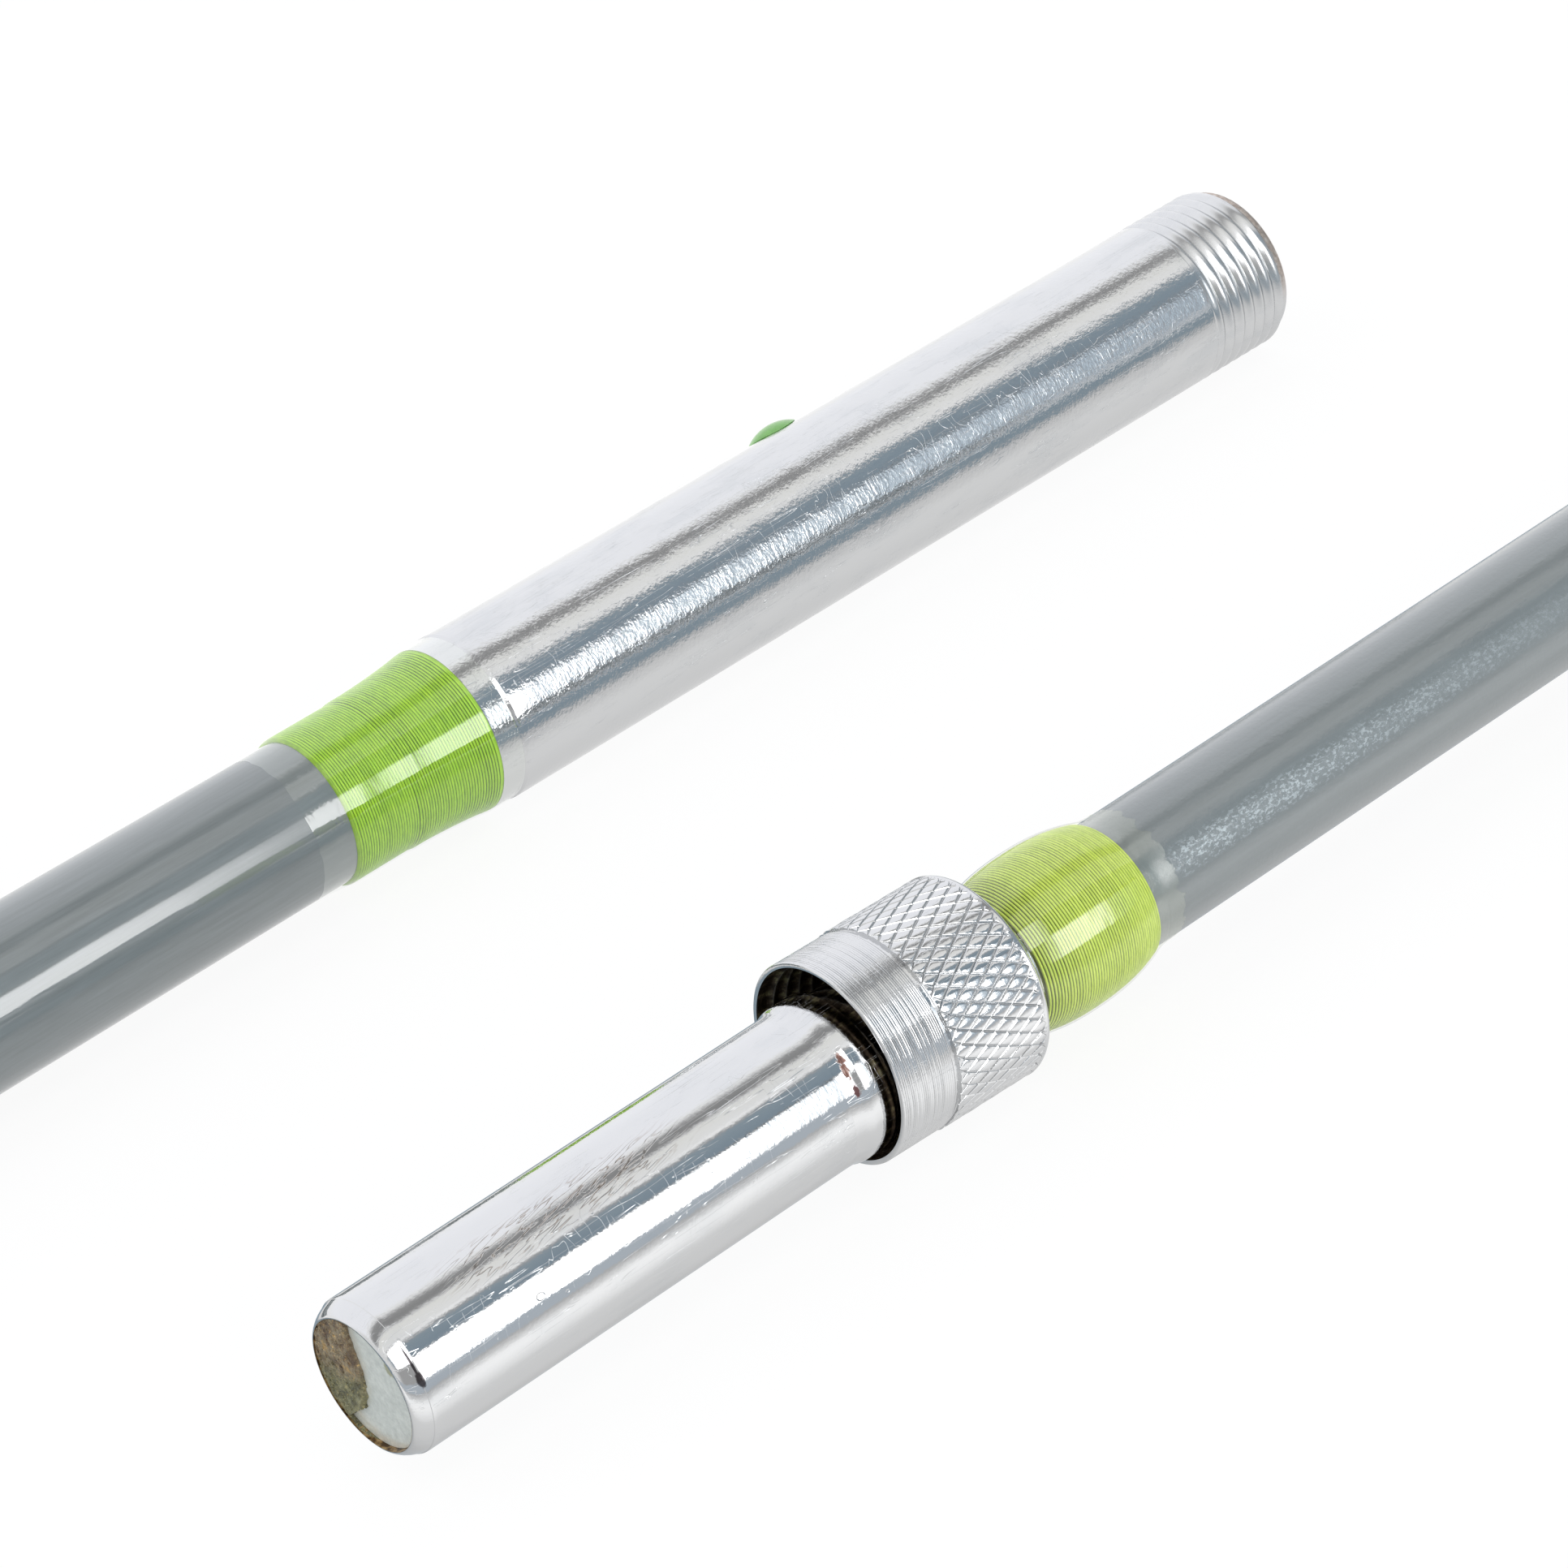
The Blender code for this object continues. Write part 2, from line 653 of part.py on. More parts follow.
# Outer radius of the finished barrel
def barrel_radius(x):
    share = abs(x - BARREL_MIDDLE) / BARREL_HALF_LENGTH
    return BARREL_RADIUS - BARREL_DROP * share ** BARREL_POWER


# Outer radius of the soft packing that gives the barrel its shape
def packing_radius(x):
    layers = TIP_COAT + TIP_WRAP_THREAD + 2.0 * BOND_GAP
    return max(barrel_radius(x) - layers, tip_bed_radius(x) + BOND_GAP + PACKING_MIN)


# Even stations between two places, with the tail's end always among them
def stations(start, end, count):
    evenly = [start + (end - start) * step / count for step in range(count + 1)]
    inside = [x for x in (TAIL_END - SEAT_GAP, TAIL_END + TAIL_RAMP) if start < x < end]
    spaced = [x for x in evenly if all(abs(x - other) > 2.0 * SEAT_GAP for other in inside)]
    return sorted(spaced + inside)


PACKING_FRONT = WRAP_FRONT + PACKING_INSET
PACKING_BACK = WRAP_BACK - PACKING_INSET


def make_tip_packing(parent):
    places = stations(PACKING_FRONT, PACKING_BACK, 6)
    outer = [(x, packing_radius(x)) for x in places]
    before = TAIL_RAMP + SEAT_GAP
    inner = [(x, max(tip_bed_radius(x), tip_bed_radius(x - before)) + BOND_GAP) for x in places]
    return turned_sleeve("tip_whipping_packing", outer, inner, "white cotton", parent)


# Inner outline of the tip whipping, over the packing and down to the rod at both ends
def tip_wrap_bed():
    front = PACKING_FRONT - SEAT_GAP
    back = PACKING_BACK + SEAT_GAP
    bed = [(WRAP_FRONT, tip_bed_radius(WRAP_FRONT) + BOND_GAP)]
    bed.append((front, packing_radius(PACKING_FRONT) + BOND_GAP))
    bed += [(x, packing_radius(x) + BOND_GAP) for x in stations(PACKING_FRONT, PACKING_BACK, 6)[1:-1]]
    bed.append((back, packing_radius(PACKING_BACK) + BOND_GAP))
    bed.append((WRAP_BACK, TIP_BLANK_RADIUS + BOND_GAP))
    return bed


def make_tip_whipping(parent):
    inner = tip_wrap_bed()
    outer = lifted(inner, TIP_WRAP_THREAD)
    return turned_sleeve("tip_whipping", outer, inner, "yellow-green thread", parent)


def make_tip_coat(parent):
    wrap = lifted(tip_wrap_bed(), TIP_WRAP_THREAD + BOND_GAP)
    start = WRAP_FRONT - TIP_COAT_LEAD
    front = WRAP_FRONT - SEAT_GAP
    edge = WRAP_BACK + SEAT_GAP
    end = WRAP_BACK + TIP_COAT_RUN
    bed_front = tip_bed_radius(front) + BOND_GAP
    bed_back = TIP_BLANK_RADIUS + BOND_GAP
    inner = [(start, bed_front), (front, bed_front), (front, wrap[0][1])]
    inner += wrap[1:-1]
    inner += [(edge, wrap[-1][1]), (edge, bed_back), (end, bed_back)]
    outer = [(start, wrap[0][1]), (front, wrap[0][1] + TIP_COAT)]
    outer += lifted(wrap[1:-1], TIP_COAT)
    steps = 4
    top = wrap[-1][1] + TIP_COAT
    low = bed_back + COAT_FEATHER
    for step in range(steps + 1):
        share = step / steps
        outer.append((edge + (end - edge) * share, low + (top - low) * (1.0 - share) ** 3))
    return turned_sleeve("tip_whipping_coat", outer, inner, "clear coat", parent)


# World corners of every mesh, or of those under one section
def world_corners(carrier=None):
    bpy.context.view_layer.update()
    corners = []
    for item in bpy.data.objects:
        if item.type != "MESH":
            continue
        if carrier is None or item.parent == carrier:
            corners += [item.matrix_world @ vertex.co for vertex in item.data.vertices]
    return corners


# Lay a section on the table
def lay_down(carrier):
    carrier.location.z -= min(corner.z for corner in world_corners(carrier))


# Move both sections so that the origin lies under the middle of the joint
def centre(carriers):
    corners = world_corners()
    for axis in (0, 1):
        middle = 0.5 * (min(c[axis] for c in corners) + max(c[axis] for c in corners))
        for carrier in carriers:
            carrier.location[axis] -= middle


def build():
    clear_scene()
    butt = section("butt_section")
    make_butt_blank(butt)
    make_butt_cement(butt)
    make_socket_tube(butt)
    make_water_plug(butt)
    make_index_bead(butt)
    make_socket_whipping(butt)
    make_socket_coat(butt)

    tip = section("tip_section")
    make_tip_blank(tip)
    make_tip_cement(tip)
    make_plug_tube(tip)
    make_stop_shoulder(tip)
    make_end_residue(tip)
    make_thrust_ring(tip)
    collar = make_lock_collar(tip)
    make_tip_packing(tip)
    make_tip_whipping(tip)
    make_tip_coat(tip)

    tip.location = (-PLUG_SETBACK, -AXIS_SPACING, 0.0)
    lay_down(butt)
    lay_down(tip)
    centre((butt, tip))
    bpy.context.view_layer.update()
    axis = collar.matrix_world.to_3x3() @ Vector((1.0, 0.0, 0.0))
    print("socket mouth", tuple(butt.matrix_world.translation))
    print("plug end", tuple(tip.matrix_world.translation))
    print("collar mouth", tuple(collar.matrix_world.translation), "axis", tuple(axis))


build()
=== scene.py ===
# Screw-lock joint of a two-piece fishing rod, laid apart side by side.
#
# The CAD frame gives the sizes. Each finished piece is modelled here in
# millimetres, in its own section's frame: x runs along the rod from the socket's
# mouth, the plug's end or the collar's mouth. Angles are measured about x from +Y.

import math
import random

import bmesh
import bpy
from mathutils import Matrix, Vector, noise


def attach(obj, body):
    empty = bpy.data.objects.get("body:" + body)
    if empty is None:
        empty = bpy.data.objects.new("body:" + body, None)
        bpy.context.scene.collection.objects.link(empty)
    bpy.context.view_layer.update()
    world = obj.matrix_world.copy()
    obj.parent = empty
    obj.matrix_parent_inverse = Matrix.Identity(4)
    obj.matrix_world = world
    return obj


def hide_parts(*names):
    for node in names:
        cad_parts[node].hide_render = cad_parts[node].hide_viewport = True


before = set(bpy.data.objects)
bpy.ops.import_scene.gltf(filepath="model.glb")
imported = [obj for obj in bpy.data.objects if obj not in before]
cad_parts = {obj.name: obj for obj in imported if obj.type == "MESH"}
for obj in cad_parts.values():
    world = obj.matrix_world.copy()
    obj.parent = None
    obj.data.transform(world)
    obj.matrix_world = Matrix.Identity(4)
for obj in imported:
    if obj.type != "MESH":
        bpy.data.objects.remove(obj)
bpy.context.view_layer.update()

millimetre = 0.001
fullTurn = 2.0 * math.pi
collarAxis = Vector((0.9995090, -0.0096444, -0.0298099))
collarTilt = Vector((1.0, 0.0, 0.0)).rotation_difference(collarAxis)
places = {
    "butt": Matrix.Translation((0.06551, 0.02759693, 0.00606)),
    "tip": Matrix.Translation((-0.05661, -0.02720307, 0.00626904)),
    "collar": Matrix.Translation((-0.02211, -0.02700307, 0.00686904))
    @ collarTilt.to_matrix().to_4x4(),
}
bodies = {"butt": "butt_section", "tip": "tip_section", "collar": "collar"}


# Settings of a piece, read by name
class Settings(dict):
    __getattr__ = dict.__getitem__


# ---- node helpers

# Link a socket, or set its value
def feed(socket, value):
    if value is None:
        return
    if isinstance(value, Field):
        value = value.socket
    if isinstance(value, bpy.types.NodeSocket):
        socket.id_data.links.new(value, socket)
        return
    if socket.type == "RGBA" and len(value) == 3:
        value = (*value, 1.0)
    socket.default_value = value


# New node; a kind that names no family is a shader node
def put(tree, kind, inputs=None, **settings):
    node = tree.nodes.new(kind if "Node" in kind else "ShaderNode" + kind)
    for name, value in settings.items():
        setattr(node, name, value)
    for key, value in (inputs or {}).items():
        feed(node.inputs[key], value)
    return node


# One output of a new node
def made(tree, kind, inputs=None, output=0, **settings):
    return Field(put(tree, kind, inputs, **settings).outputs[output])


# A node's output, which can be written in plain arithmetic
class Field:
    def __init__(self, socket):
        self.socket = socket
        self.tree = socket.id_data

    # A maths node on this output, or on a vector a vector maths node
    def do(self, operation, *others, output=0):
        kind = "VectorMath" if self.socket.type == "VECTOR" else "Math"
        inputs = dict(enumerate((self, *others)))
        return made(self.tree, kind, inputs, output, operation=operation)

    def __add__(self, other):
        return self.do("ADD", other)

    def __sub__(self, other):
        return self.do("SUBTRACT", other)

    def __rsub__(self, other):
        return self.do("MULTIPLY_ADD", -1.0, other)

    def __mul__(self, other):
        return self.do("MULTIPLY", other)

    def __truediv__(self, other):
        return self.do("DIVIDE", other)

    def clamped(self):
        self.socket.node.use_clamp = True
        return self

    def parts(self):
        outputs = put(self.tree, "SeparateXYZ", {0: self}).outputs
        return [Field(output) for output in outputs]

    # Smooth step from one end to the other
    def span(self, low, high, start=0.0, end=1.0, interpolation="SMOOTHSTEP"):
        ends = {"From Min": low, "From Max": high, "To Min": start, "To Max": end}
        inputs = {"Value": self, **ends}
        kind = "MapRange"
        return made(self.tree, kind, inputs, "Result", interpolation_type=interpolation)

    def ramp(self, *stops):
        node = put(self.tree, "ValToRGB", {"Fac": self})
        elements = node.color_ramp.elements
        while len(elements) < len(stops):
            elements.new(0.5)
        for element, (position, colour) in zip(elements, stops):
            element.position = position
            shade = (colour,) * 3 if isinstance(colour, float) else colour
            element.color = (*shade, 1.0)
        return Field(node.outputs["Color"])

    def grain(self, scale, detail=2.0, roughness=0.5):
        inputs = {"Vector": self, "Scale": scale, "Detail": detail, "Roughness": roughness}
        return made(self.tree, "TexNoise", inputs, "Fac")

    # Height in millimetres of a grain given by its scale and depth
    def layer(self, pair, detail=2.0, roughness=0.5):
        scale, depth = pair
        return self.grain(scale, detail, roughness) * depth

    # Thin lines along the direction in which the vector is squeezed
    def hairlines(self, width):
        return (self.grain(1.0, 1.0) - 0.5).do("ABSOLUTE").span(0.0, width, 1.0, 0.0)

    def fromAxis(self):
        x, y, z = self.parts()
        return (y * y + z * z).do("SQRT")

    # Direction away from the axis
    def outward(self):
        x, y, z = self.parts()
        return combined(None, y, z).do("NORMALIZE")

    def dot(self, other):
        return self.do("DOT_PRODUCT", other, output="Value")

    # How far the direction round the axis points to an angle, from -1 to 1
    def facing(self, angle):
        turn = math.radians(angle)
        return self.outward().dot((0.0, math.cos(turn), math.sin(turn)))

    # Round patch on the surface, one at its middle and nothing beyond its size
    def patch(self, x, angle, radius, size, roughness=0.35):
        turn = math.radians(angle)
        middle = (x, radius * math.cos(turn), radius * math.sin(turn))
        squeezed = (self - middle) / (size[0], size[1], size[1])
        length = squeezed.do("LENGTH", output="Value")
        ragged = (self.grain(5.0, 3.0) - 0.5) * (2.0 * roughness) + length
        return ragged.span(0.7, 1.1, 1.0, 0.0)


def combined(x, y, z=None):
    tree = next(part.tree for part in (x, y, z) if isinstance(part, Field))
    return made(tree, "CombineXYZ", {0: x, 1: y, 2: z})


def mixColour(factor, first, second, mode="MIX"):
    tree = next(part.tree for part in (factor, first) if isinstance(part, Field))
    inputs = {0: factor, 6: first, 7: second}
    return made(tree, "Mix", inputs, 2, data_type="RGBA", blend_type=mode)


# ---- camera, studio light and floor

studio = Settings(
    cameraPlace=(-0.179737, -0.257246, 0.175677),
    right=(0.73417, -0.64571, -0.20990),
    up=(0.45864, 0.24369, 0.85455),
    forward=(0.50064, 0.72365, -0.47506),
    lens=132.3, sensor=36.0, clip=(0.01, 20.0),
    peak=1.5,
    # Brightness round the X axis, by angle from +Y over the top
    surround=[
        (-90.0, 0.97), (-30.0, 0.97), (-25.0, 1.37), (-12.0, 1.30), (0.0, 1.17),
        (15.0, (1.24, 1.25, 1.30)), (75.0, (1.24, 1.25, 1.30)), (80.0, 1.18), (84.0, 0.80),
        (88.0, 0.42), (94.0, 0.36), (98.0, 0.40), (101.0, 0.85), (104.0, (1.08, 1.075, 1.04)),
        (120.0, 1.12), (122.0, 1.30), (124.0, 1.10), (126.0, 0.50), (130.0, (0.36, 0.44, 0.50)),
        (146.0, (0.30, 0.38, 0.45)), (150.0, 0.50), (180.0, 0.50), (184.0, (0.34, 0.42, 0.50)),
        (195.0, (0.38, 0.42, 0.46)), (230.0, 0.95), (270.0, 0.97),
    ],
    endFade=(0.72, 0.90),
    rightEnd=(0.40, 0.44, 0.47),
    # Softboxes as gloss shows them: angle, and brightness by world x in metres
    boxDistance=0.8, boxHalfHeight=0.242, boxSoft=0.28, boxEdge=0.08, boxPeak=6.4,
    boxes=Settings(
        boxMain=(165.0, [
            (-0.10, 0.4), (0.00, 1.2), (0.08, 3.0), (0.14, 6.0), (0.33, 6.4), (0.36, 4.3),
            (0.385, 1.8), (0.41, (1.32, 1.44, 1.54)), (0.45, (1.06, 1.20, 1.32)),
            (0.52, (0.78, 0.90, 1.00)), (0.62, (0.56, 0.66, 0.75)), (0.80, (0.40, 0.46, 0.52)),
        ]),
        boxLeft=(139.0, [(-0.90, 2.4), (-0.40, 3.8), (0.02, 3.8), (0.10, 1.8)]),
    ),
    boxFill=(-0.30, 0.55, 2.6),
    floorSize=4.0, floorDrop=0.00002,
    floorWhite=0.92, floorShade=0.09, floorPlain=0.9,
    # Brightness of the table as metal shows it, by world y in millimetres: painted shadows of the
    # rods and painted pools of lamp light, seen only in reflections
    floorBands=[
        (-70.0, (0.60, 0.66, 0.72)), (-62.0, (0.60, 0.66, 0.72)), (-57.0, 0.63), (-52.0, 0.80),
        (-49.8, 0.87), (-46.3, 1.07), (-43.6, 1.36), (-40.5, 1.38), (-38.0, 1.28), (-36.0, 1.12),
        (-34.8, 0.96), (-31.0, 0.86), (-29.4, 0.70), (-24.0, (0.32, 0.40, 0.46)),
        (3.0, (0.32, 0.40, 0.46)), (4.5, (0.30, 0.38, 0.44)), (8.3, 0.60), (11.0, 0.84),
        (14.0, 0.86), (17.0, 0.98), (20.0, 0.96), (24.5, 0.83), (42.0, 1.37), (65.0, 1.37),
        (80.0, 1.17), (90.0, 1.17),
    ],
)


def makeCamera(s):
    data = bpy.data.cameras.new("camera")
    data.lens = s.lens
    data.sensor_width = s.sensor
    data.clip_start, data.clip_end = s.clip
    camera = newObject("camera", data)
    columns = (Vector(s.right), Vector(s.up), -Vector(s.forward))
    turn = Matrix(columns).transposed().to_quaternion().normalized()
    camera.matrix_world = Matrix.LocRotScale(Vector(s.cameraPlace), turn, None)
    bpy.context.scene.camera = camera


def newObject(name, data):
    thing = bpy.data.objects.new(name, data)
    bpy.context.scene.collection.objects.link(thing)
    return thing


def emptyTree(owner):
    owner.use_nodes = True
    owner.node_tree.nodes.clear()
    return owner.node_tree


# Colour ramp over listed stops, whose brightness is scaled to a peak of one
def bands(share, stops, peak):
    low, high = stops[0][0], stops[-1][0]
    scaled = []
    for position, colour in stops:
        shade = (colour,) * 3 if isinstance(colour, float) else colour
        part = (position - low) / (high - low)
        scaled.append((part, tuple(level / peak for level in shade)))
    return share.ramp(*scaled)


def makeWorld(s):
    world = bpy.data.worlds.new("studio")
    bpy.context.scene.world = world
    tree = emptyTree(world)
    x, y, z = made(tree, "TexCoord", output="Generated").parts()
    share = (z.do("ARCTAN2", y) * (1.0 / fullTurn) + 0.25).do("FRACT")
    strips = bands(share, s.surround, s.peak)
    plain = (1.0 / s.peak,) * 3
    rightEnd = tuple(part / s.peak for part in s.rightEnd)
    sided = mixColour(x.span(*s.endFade), strips, rightEnd)
    around = mixColour((x * -1.0).span(*s.endFade), sided, plain)
    isSeen = made(tree, "LightPath", output="Is Camera Ray")
    inputs = {"Color": mixColour(isSeen, around, plain), "Strength": s.peak}
    light = made(tree, "Background", inputs)
    put(tree, "OutputWorld", {"Surface": light})


def flatObject(name, corners, material):
    mesh = bpy.data.meshes.new(name)
    mesh.from_pydata(corners, [], [tuple(range(len(corners)))])
    mesh.materials.append(material)
    flat = newObject(name, mesh)
    return flat


def glowMaterial(name, strength):
    material = bpy.data.materials.new(name)
    tree = emptyTree(material)
    glow = put(tree, "Emission", {"Strength": strength})
    put(tree, "OutputMaterial", {"Surface": glow.outputs[0]})
    return material, glow


# Fade a glow along x, and softly towards the long edges of its card
def fadeGlow(s, glow, stops, middle, rise):
    spot = made(glow.id_data, "TexCoord", output="Object")
    x = spot.parts()[0]
    share = x.span(stops[0][0], stops[-1][0], interpolation="LINEAR")
    across = (spot - tuple(middle)).dot(tuple(rise / rise.length_squared)).do("ABSOLUTE")
    edge = across.span(1.0 - s.boxSoft, 1.0, 1.0, s.boxEdge)
    feed(glow.inputs["Color"], bands(share, stops, s.boxPeak))
    feed(glow.inputs["Strength"], edge * s.boxPeak)


def makeCard(s, name, angle, left, right, material, isGloss):
    turn = math.radians(angle)
    middle = Vector((0.0, math.cos(turn), math.sin(turn))) * s.boxDistance
    rise = Vector((0.0, -math.sin(turn), math.cos(turn))) * s.boxHalfHeight
    corners = []
    for x, side in ((left, -1.0), (right, -1.0), (right, 1.0), (left, 1.0)):
        corners.append(middle + side * rise + Vector((x, 0.0, 0.0)))
    card = flatObject(name, corners, material)
    card.visible_camera = False
    card.visible_shadow = False
    card.visible_transmission = False
    card.visible_diffuse = not isGloss
    card.visible_glossy = isGloss
    return middle, rise


# What metal mirrors and what lights the rest are separate cards
def makeSoftboxes(s):
    for name, (angle, stops) in s.boxes.items():
        material, glow = glowMaterial(name, s.boxPeak)
        middle, rise = makeCard(s, name, angle, stops[0][0], stops[-1][0], material, True)
        fadeGlow(s, glow, stops, middle, rise)
    left, right, strength = s.boxFill
    material, glow = glowMaterial("boxFill", strength)
    makeCard(s, "boxFill", s.boxes["boxMain"][0], left, right, material, False)


def makeFloor(s):
    material = bpy.data.materials.new("paleFloor")
    tree = emptyTree(material)
    material.cycles.emission_sampling = "NONE"
    y = made(tree, "TexCoord", output="Object").parts()[1]
    low, high = (s.floorBands[end][0] * millimetre for end in (0, -1))
    share = y.span(low, high, interpolation="LINEAR")
    inputs = {"Color": bands(share, s.floorBands, s.peak), "Strength": s.peak}
    # The floor glows for metal and gloss with these painted shadows and pools of light
    paintedReflectedFloor = made(tree, "Emission", inputs)
    plain = made(tree, "BsdfDiffuse", {"Color": (s.floorPlain,) * 3})
    shaded = made(tree, "BsdfDiffuse", {"Color": (s.floorShade,) * 3})
    white = made(tree, "Emission", {"Strength": s.floorWhite})
    seen = made(tree, "AddShader", {0: white, 1: shaded})
    ray = put(tree, "LightPath").outputs
    through = Field(ray["Is Glossy Ray"]).do("MAXIMUM", ray["Is Transmission Ray"])
    hidden = made(tree, "MixShader", {0: through, 1: plain, 2: paintedReflectedFloor})
    shown = made(tree, "MixShader", {0: ray["Is Camera Ray"], 1: hidden, 2: seen})
    put(tree, "OutputMaterial", {"Surface": shown})
    half = 0.5 * s.floorSize
    sides = ((-half, -half), (half, -half), (half, half), (-half, half))
    flatObject("floor", [(*side, -s.floorDrop) for side in sides], material)


print("studio")
bpy.context.scene.view_settings.view_transform = "Standard"
makeCamera(studio)
makeWorld(studio)
makeSoftboxes(studio)
makeFloor(studio)


# ---- mesh helpers

def meshObject(name, verts, faces, smoothAngle=35.0):
    mesh = bpy.data.meshes.new(name)
    mesh.from_pydata(verts, [], faces)
    work = bmesh.new()
    work.from_mesh(mesh)
    bmesh.ops.recalc_face_normals(work, faces=work.faces)
    work.to_mesh(mesh)
    work.free()
    mesh.shade_smooth()
    mesh.set_sharp_from_angle(angle=math.radians(smoothAngle))
    return newObject(name, mesh)


# Turned piece from an outline of (x, radius); a loop closes on itself
def turned(name, outline, sides, isLoop=False, wander=None, smoothAngle=35.0):
    verts = []
    rings = []
    for x, radius in outline:
        if radius < 1e-6:
            rings.append([len(verts)] * sides)
            verts.append((x, 0.0, 0.0))
            continue
        rings.append(list(range(len(verts), len(verts) + sides)))
        for side in range(sides):
            angle = fullTurn * side / sides
            px, pr = wander(x, radius, angle) if wander else (x, radius)
            verts.append((px, pr * math.cos(angle), pr * math.sin(angle)))
    pairs = list(zip(rings, rings[1:]))
    if isLoop:
        pairs.append((rings[-1], rings[0]))
    faces = []
    for low, high in pairs:
        for side in range(sides):
            after = (side + 1) % sides
            corners = (low[side], low[after], high[after], high[side])
            faces.append(tuple(dict.fromkeys(corners)))
    return meshObject(name, verts, faces, smoothAngle)


# Evenly spaced places from one end to the other
def steps(start, end, count):
    return [start + (end - start) * step / count for step in range(count + 1)]


# Evenly spaced outline points at one radius
def straight(radius, start, end, count):
    return [(x, radius) for x in steps(start, end, count)]


# Outline points at shares of the way, whose radius follows an easing function
def eased(start, end, low, high, shares, ease):
    return [(start + (end - start) * t, low + (high - low) * ease(t)) for t in shares]


# Outline of fine lines turned into a band
def turnedLines(start, end, count, radius, depth):
    return [(x, radius - line % 2 * depth) for line, x in enumerate(steps(start, end, 2 * count))]


# Quarter of an ellipse from its flat side to its round side
def quarterRound(flat, round_, low, high, count):
    points = []
    for angle in steps(0.0, 0.5 * math.pi, count):
        x = round_ + (flat - round_) * math.cos(angle)
        points.append((x, low + (high - low) * math.sin(angle)))
    return points


# Unevenness round the rod, never below zero
def ringNoise(angle, scale, level):
    return abs(noise.noise(Vector((math.cos(angle) * scale, math.sin(angle) * scale, level))))


# Single point for a tree that makes its own geometry
def seedObject(name):
    mesh = bpy.data.meshes.new(name)
    mesh.from_pydata([(0.0, 0.0, 0.0)], [], [])
    return newObject(name, mesh)


# One object of several meshes, under the first one's name
def joined(pieces):
    work = bmesh.new()
    for piece in pieces:
        work.from_mesh(piece.data)
    mesh = bpy.data.meshes.new(pieces[0].name)
    work.to_mesh(mesh)
    work.free()
    mesh.materials.append(pieces[0].data.materials[0])
    pieces[0].data = mesh
    for piece in pieces[1:]:
        bpy.data.objects.remove(piece)
    return pieces[0]


# Bring a piece from its section's millimetres into the frame, and hand it over
def finishPiece(piece, section, node, material=None):
    piece.data.transform(places[section] @ Matrix.Scale(millimetre, 4))
    piece.data.update()
    if material:
        piece.data.materials.clear()
        piece.data.materials.append(material)
    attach(piece, bodies[section])
    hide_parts(node)


# ---- geometry node trees

socketKinds = {"points": "Int", "seed": "Int", "material": "Material", "instance": "Object"}


# Tree with a geometry, a material and these named inputs, and its inputs by name
def newTree(name, *names):
    tree = bpy.data.node_groups.new(name, "GeometryNodeTree")
    face = tree.interface
    face.new_socket("geometry", in_out="INPUT", socket_type="NodeSocketGeometry")
    for each in (*names, "material"):
        kind = "NodeSocket" + socketKinds.get(each, "Float")
        face.new_socket(each, in_out="INPUT", socket_type=kind)
    face.new_socket("geometry", in_out="OUTPUT", socket_type="NodeSocketGeometry")
    start = put(tree, "NodeGroupInput").outputs
    return tree, Settings({socket.name: Field(socket) for socket in start if socket.name})


# End of every tree: instances made real, then the material
def endTree(geometry, take):
    solid = made(geometry.tree, "GeometryNodeRealizeInstances", {"Geometry": geometry})
    inputs = {"Geometry": solid, "Material": take.material}
    painted = made(geometry.tree, "GeometryNodeSetMaterial", inputs)
    feed(put(geometry.tree, "NodeGroupOutput").inputs[0], painted)
    return geometry.tree


# Run a tree on an object with these inputs, and keep its result as the mesh
def grow(piece, tree, values, **more):
    values = {**values, **more}
    modifier = piece.modifiers.new(tree.name, "NODES")
    modifier.node_group = tree
    for item in tree.interface.items_tree:
        if item.item_type == "SOCKET" and item.in_out == "INPUT" and item.name in values:
            modifier[item.identifier] = values[item.name]
    graph = bpy.context.evaluated_depsgraph_get()
    grown = bpy.data.meshes.new_from_object(piece.evaluated_get(graph), depsgraph=graph)
    piece.modifiers.remove(modifier)
    piece.data = grown


def pointLine(take):
    inputs = {"Count": take.points, "Offset": (1.0, 0.0, 0.0)}
    return made(take.points.tree, "GeometryNodeMeshLine", inputs)


def moveTo(geometry, x, angle, radius):
    spot = combined(x, radius * angle.do("COSINE"), radius * angle.do("SINE"))
    inputs = {"Geometry": geometry, "Position": spot}
    return made(x.tree, "GeometryNodeSetPosition", inputs)


def randomValue(take, kind, low, high, **more):
    inputs = {"Seed": take.seed, **more}
    inputs |= {2: low, 3: high} if kind == "FLOAT" else {0: low, 1: high}
    output = 1 if kind == "FLOAT" else 0
    node = "FunctionNodeRandomValue"
    return made(take.seed.tree, node, inputs, output, data_type=kind)


# Screw thread pressed into the turned surface between two radii
def threadTree():
    names = ("pitch", "depth", "start", "end", "fade", "leastRadius", "mostRadius")
    tree, take = newTree("screwThread", *names)
    spot = made(tree, "GeometryNodeInputPosition")
    x, y, z = spot.parts()
    angle = z.do("ARCTAN2", y)
    radius = spot.fromAxis()
    phase = (x / take.pitch - angle / fullTurn).do("FRACT")
    fromCrest = phase * 2.0 - 1.0
    opening = ((x - take.start) / take.fade).clamped()
    closing = ((take.end - x) / take.fade).clamped()
    isOver = radius.do("GREATER_THAN", take.leastRadius)
    isIn = isOver * radius.do("LESS_THAN", take.mostRadius)
    cut = fromCrest * fromCrest * take.depth * (opening * closing * isIn)
    return endTree(moveTo(take.geometry, x, angle, radius - cut), take)


